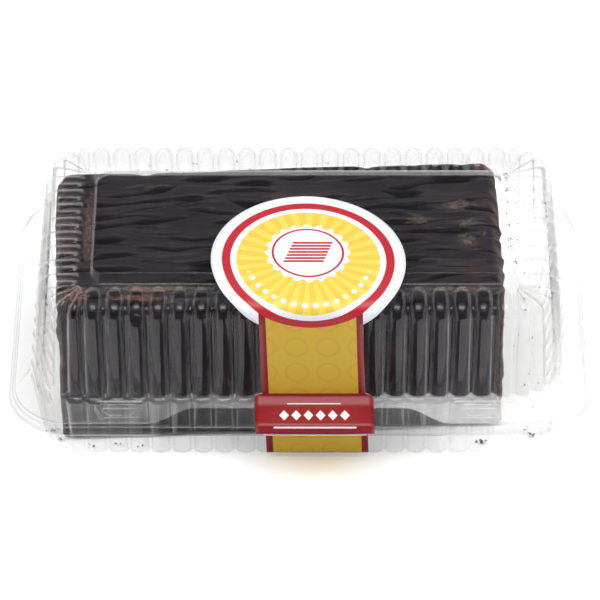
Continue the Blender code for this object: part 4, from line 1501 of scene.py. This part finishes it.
world = bpy.data.worlds.new("studio")
bpy.context.scene.world = world
world.use_nodes = True
sky = world.node_tree
sky.nodes.clear()
direction = add_node(sky, "TexCoord").outputs["Generated"]
parts = add_node(sky, "SeparateXYZ", {0: direction})
ceiling = add_node(sky, "MapRange", {
    "Value": parts.outputs[2], "From Min": 0.78, "From Max": 0.92, "To Min": 0.08, "To Max": 1.2},
    interpolation_type="SMOOTHSTEP")
aside = add_node(sky, "Math", (parts.outputs[0],), operation="ABSOLUTE")
side_walls = add_node(sky, "MapRange", {
    "Value": aside, "From Min": 0.60, "From Max": 0.80, "To Min": 0.0, "To Max": 1.2},
    interpolation_type="SMOOTHSTEP")
low = add_node(sky, "MapRange", {
    "Value": parts.outputs[2], "From Min": 0.56, "From Max": 0.42, "To Min": 0.0, "To Max": 1.1},
    interpolation_type="SMOOTHSTEP")
behind = add_node(sky, "MapRange", {
    "Value": parts.outputs[1], "From Min": 0.15, "From Max": 0.45, "To Min": 0.0, "To Max": 1.0},
    interpolation_type="SMOOTHSTEP")
back_wall = add_node(sky, "Math", (low, behind), operation="MULTIPLY")
walls = add_node(sky, "Math", (side_walls, back_wall), operation="MAXIMUM")
room = add_node(sky, "Math", (ceiling, walls), operation="ADD")
background = add_node(sky, "Background", {"Color": linear("#f6f6f6"), "Strength": room})
add_node(sky, "OutputWorld", {"Surface": background})

# %% Camera
CAMERA_TARGET = Vector((0.0004, -0.0029, 0.0389))
CAMERA_DISTANCE = 1.693
CAMERA_ELEVATION = math.radians(42.0)
CAMERA_LENS = 241.1
SENSOR = 36.0

camera_data = bpy.data.cameras.new("camera")
camera_data.lens = CAMERA_LENS
camera_data.sensor_width = SENSOR
camera_data.clip_end = 20.0
camera = bpy.data.objects.new("camera", camera_data)
towards = Vector((0, -math.cos(CAMERA_ELEVATION), math.sin(CAMERA_ELEVATION)))
camera.location = CAMERA_TARGET + towards * CAMERA_DISTANCE
camera.rotation_euler = (-towards).to_track_quat("-Z", "Y").to_euler()
bpy.context.scene.collection.objects.link(camera)
bpy.context.scene.camera = camera
print("camera at", [round(c, 3) for c in camera.location])

# %% Clear sheets cast no shadow and need many see through steps
for sheet in bpy.data.objects:
    if sheet.name.startswith(("clear_", "snap_lock")):
        sheet.visible_shadow = False
cycles = bpy.context.scene.cycles
cycles.transparent_max_bounces = 48
cycles.max_bounces = 16
bpy.context.scene.view_settings.view_transform = "Standard"
print("view transform:", bpy.context.scene.view_settings.view_transform)
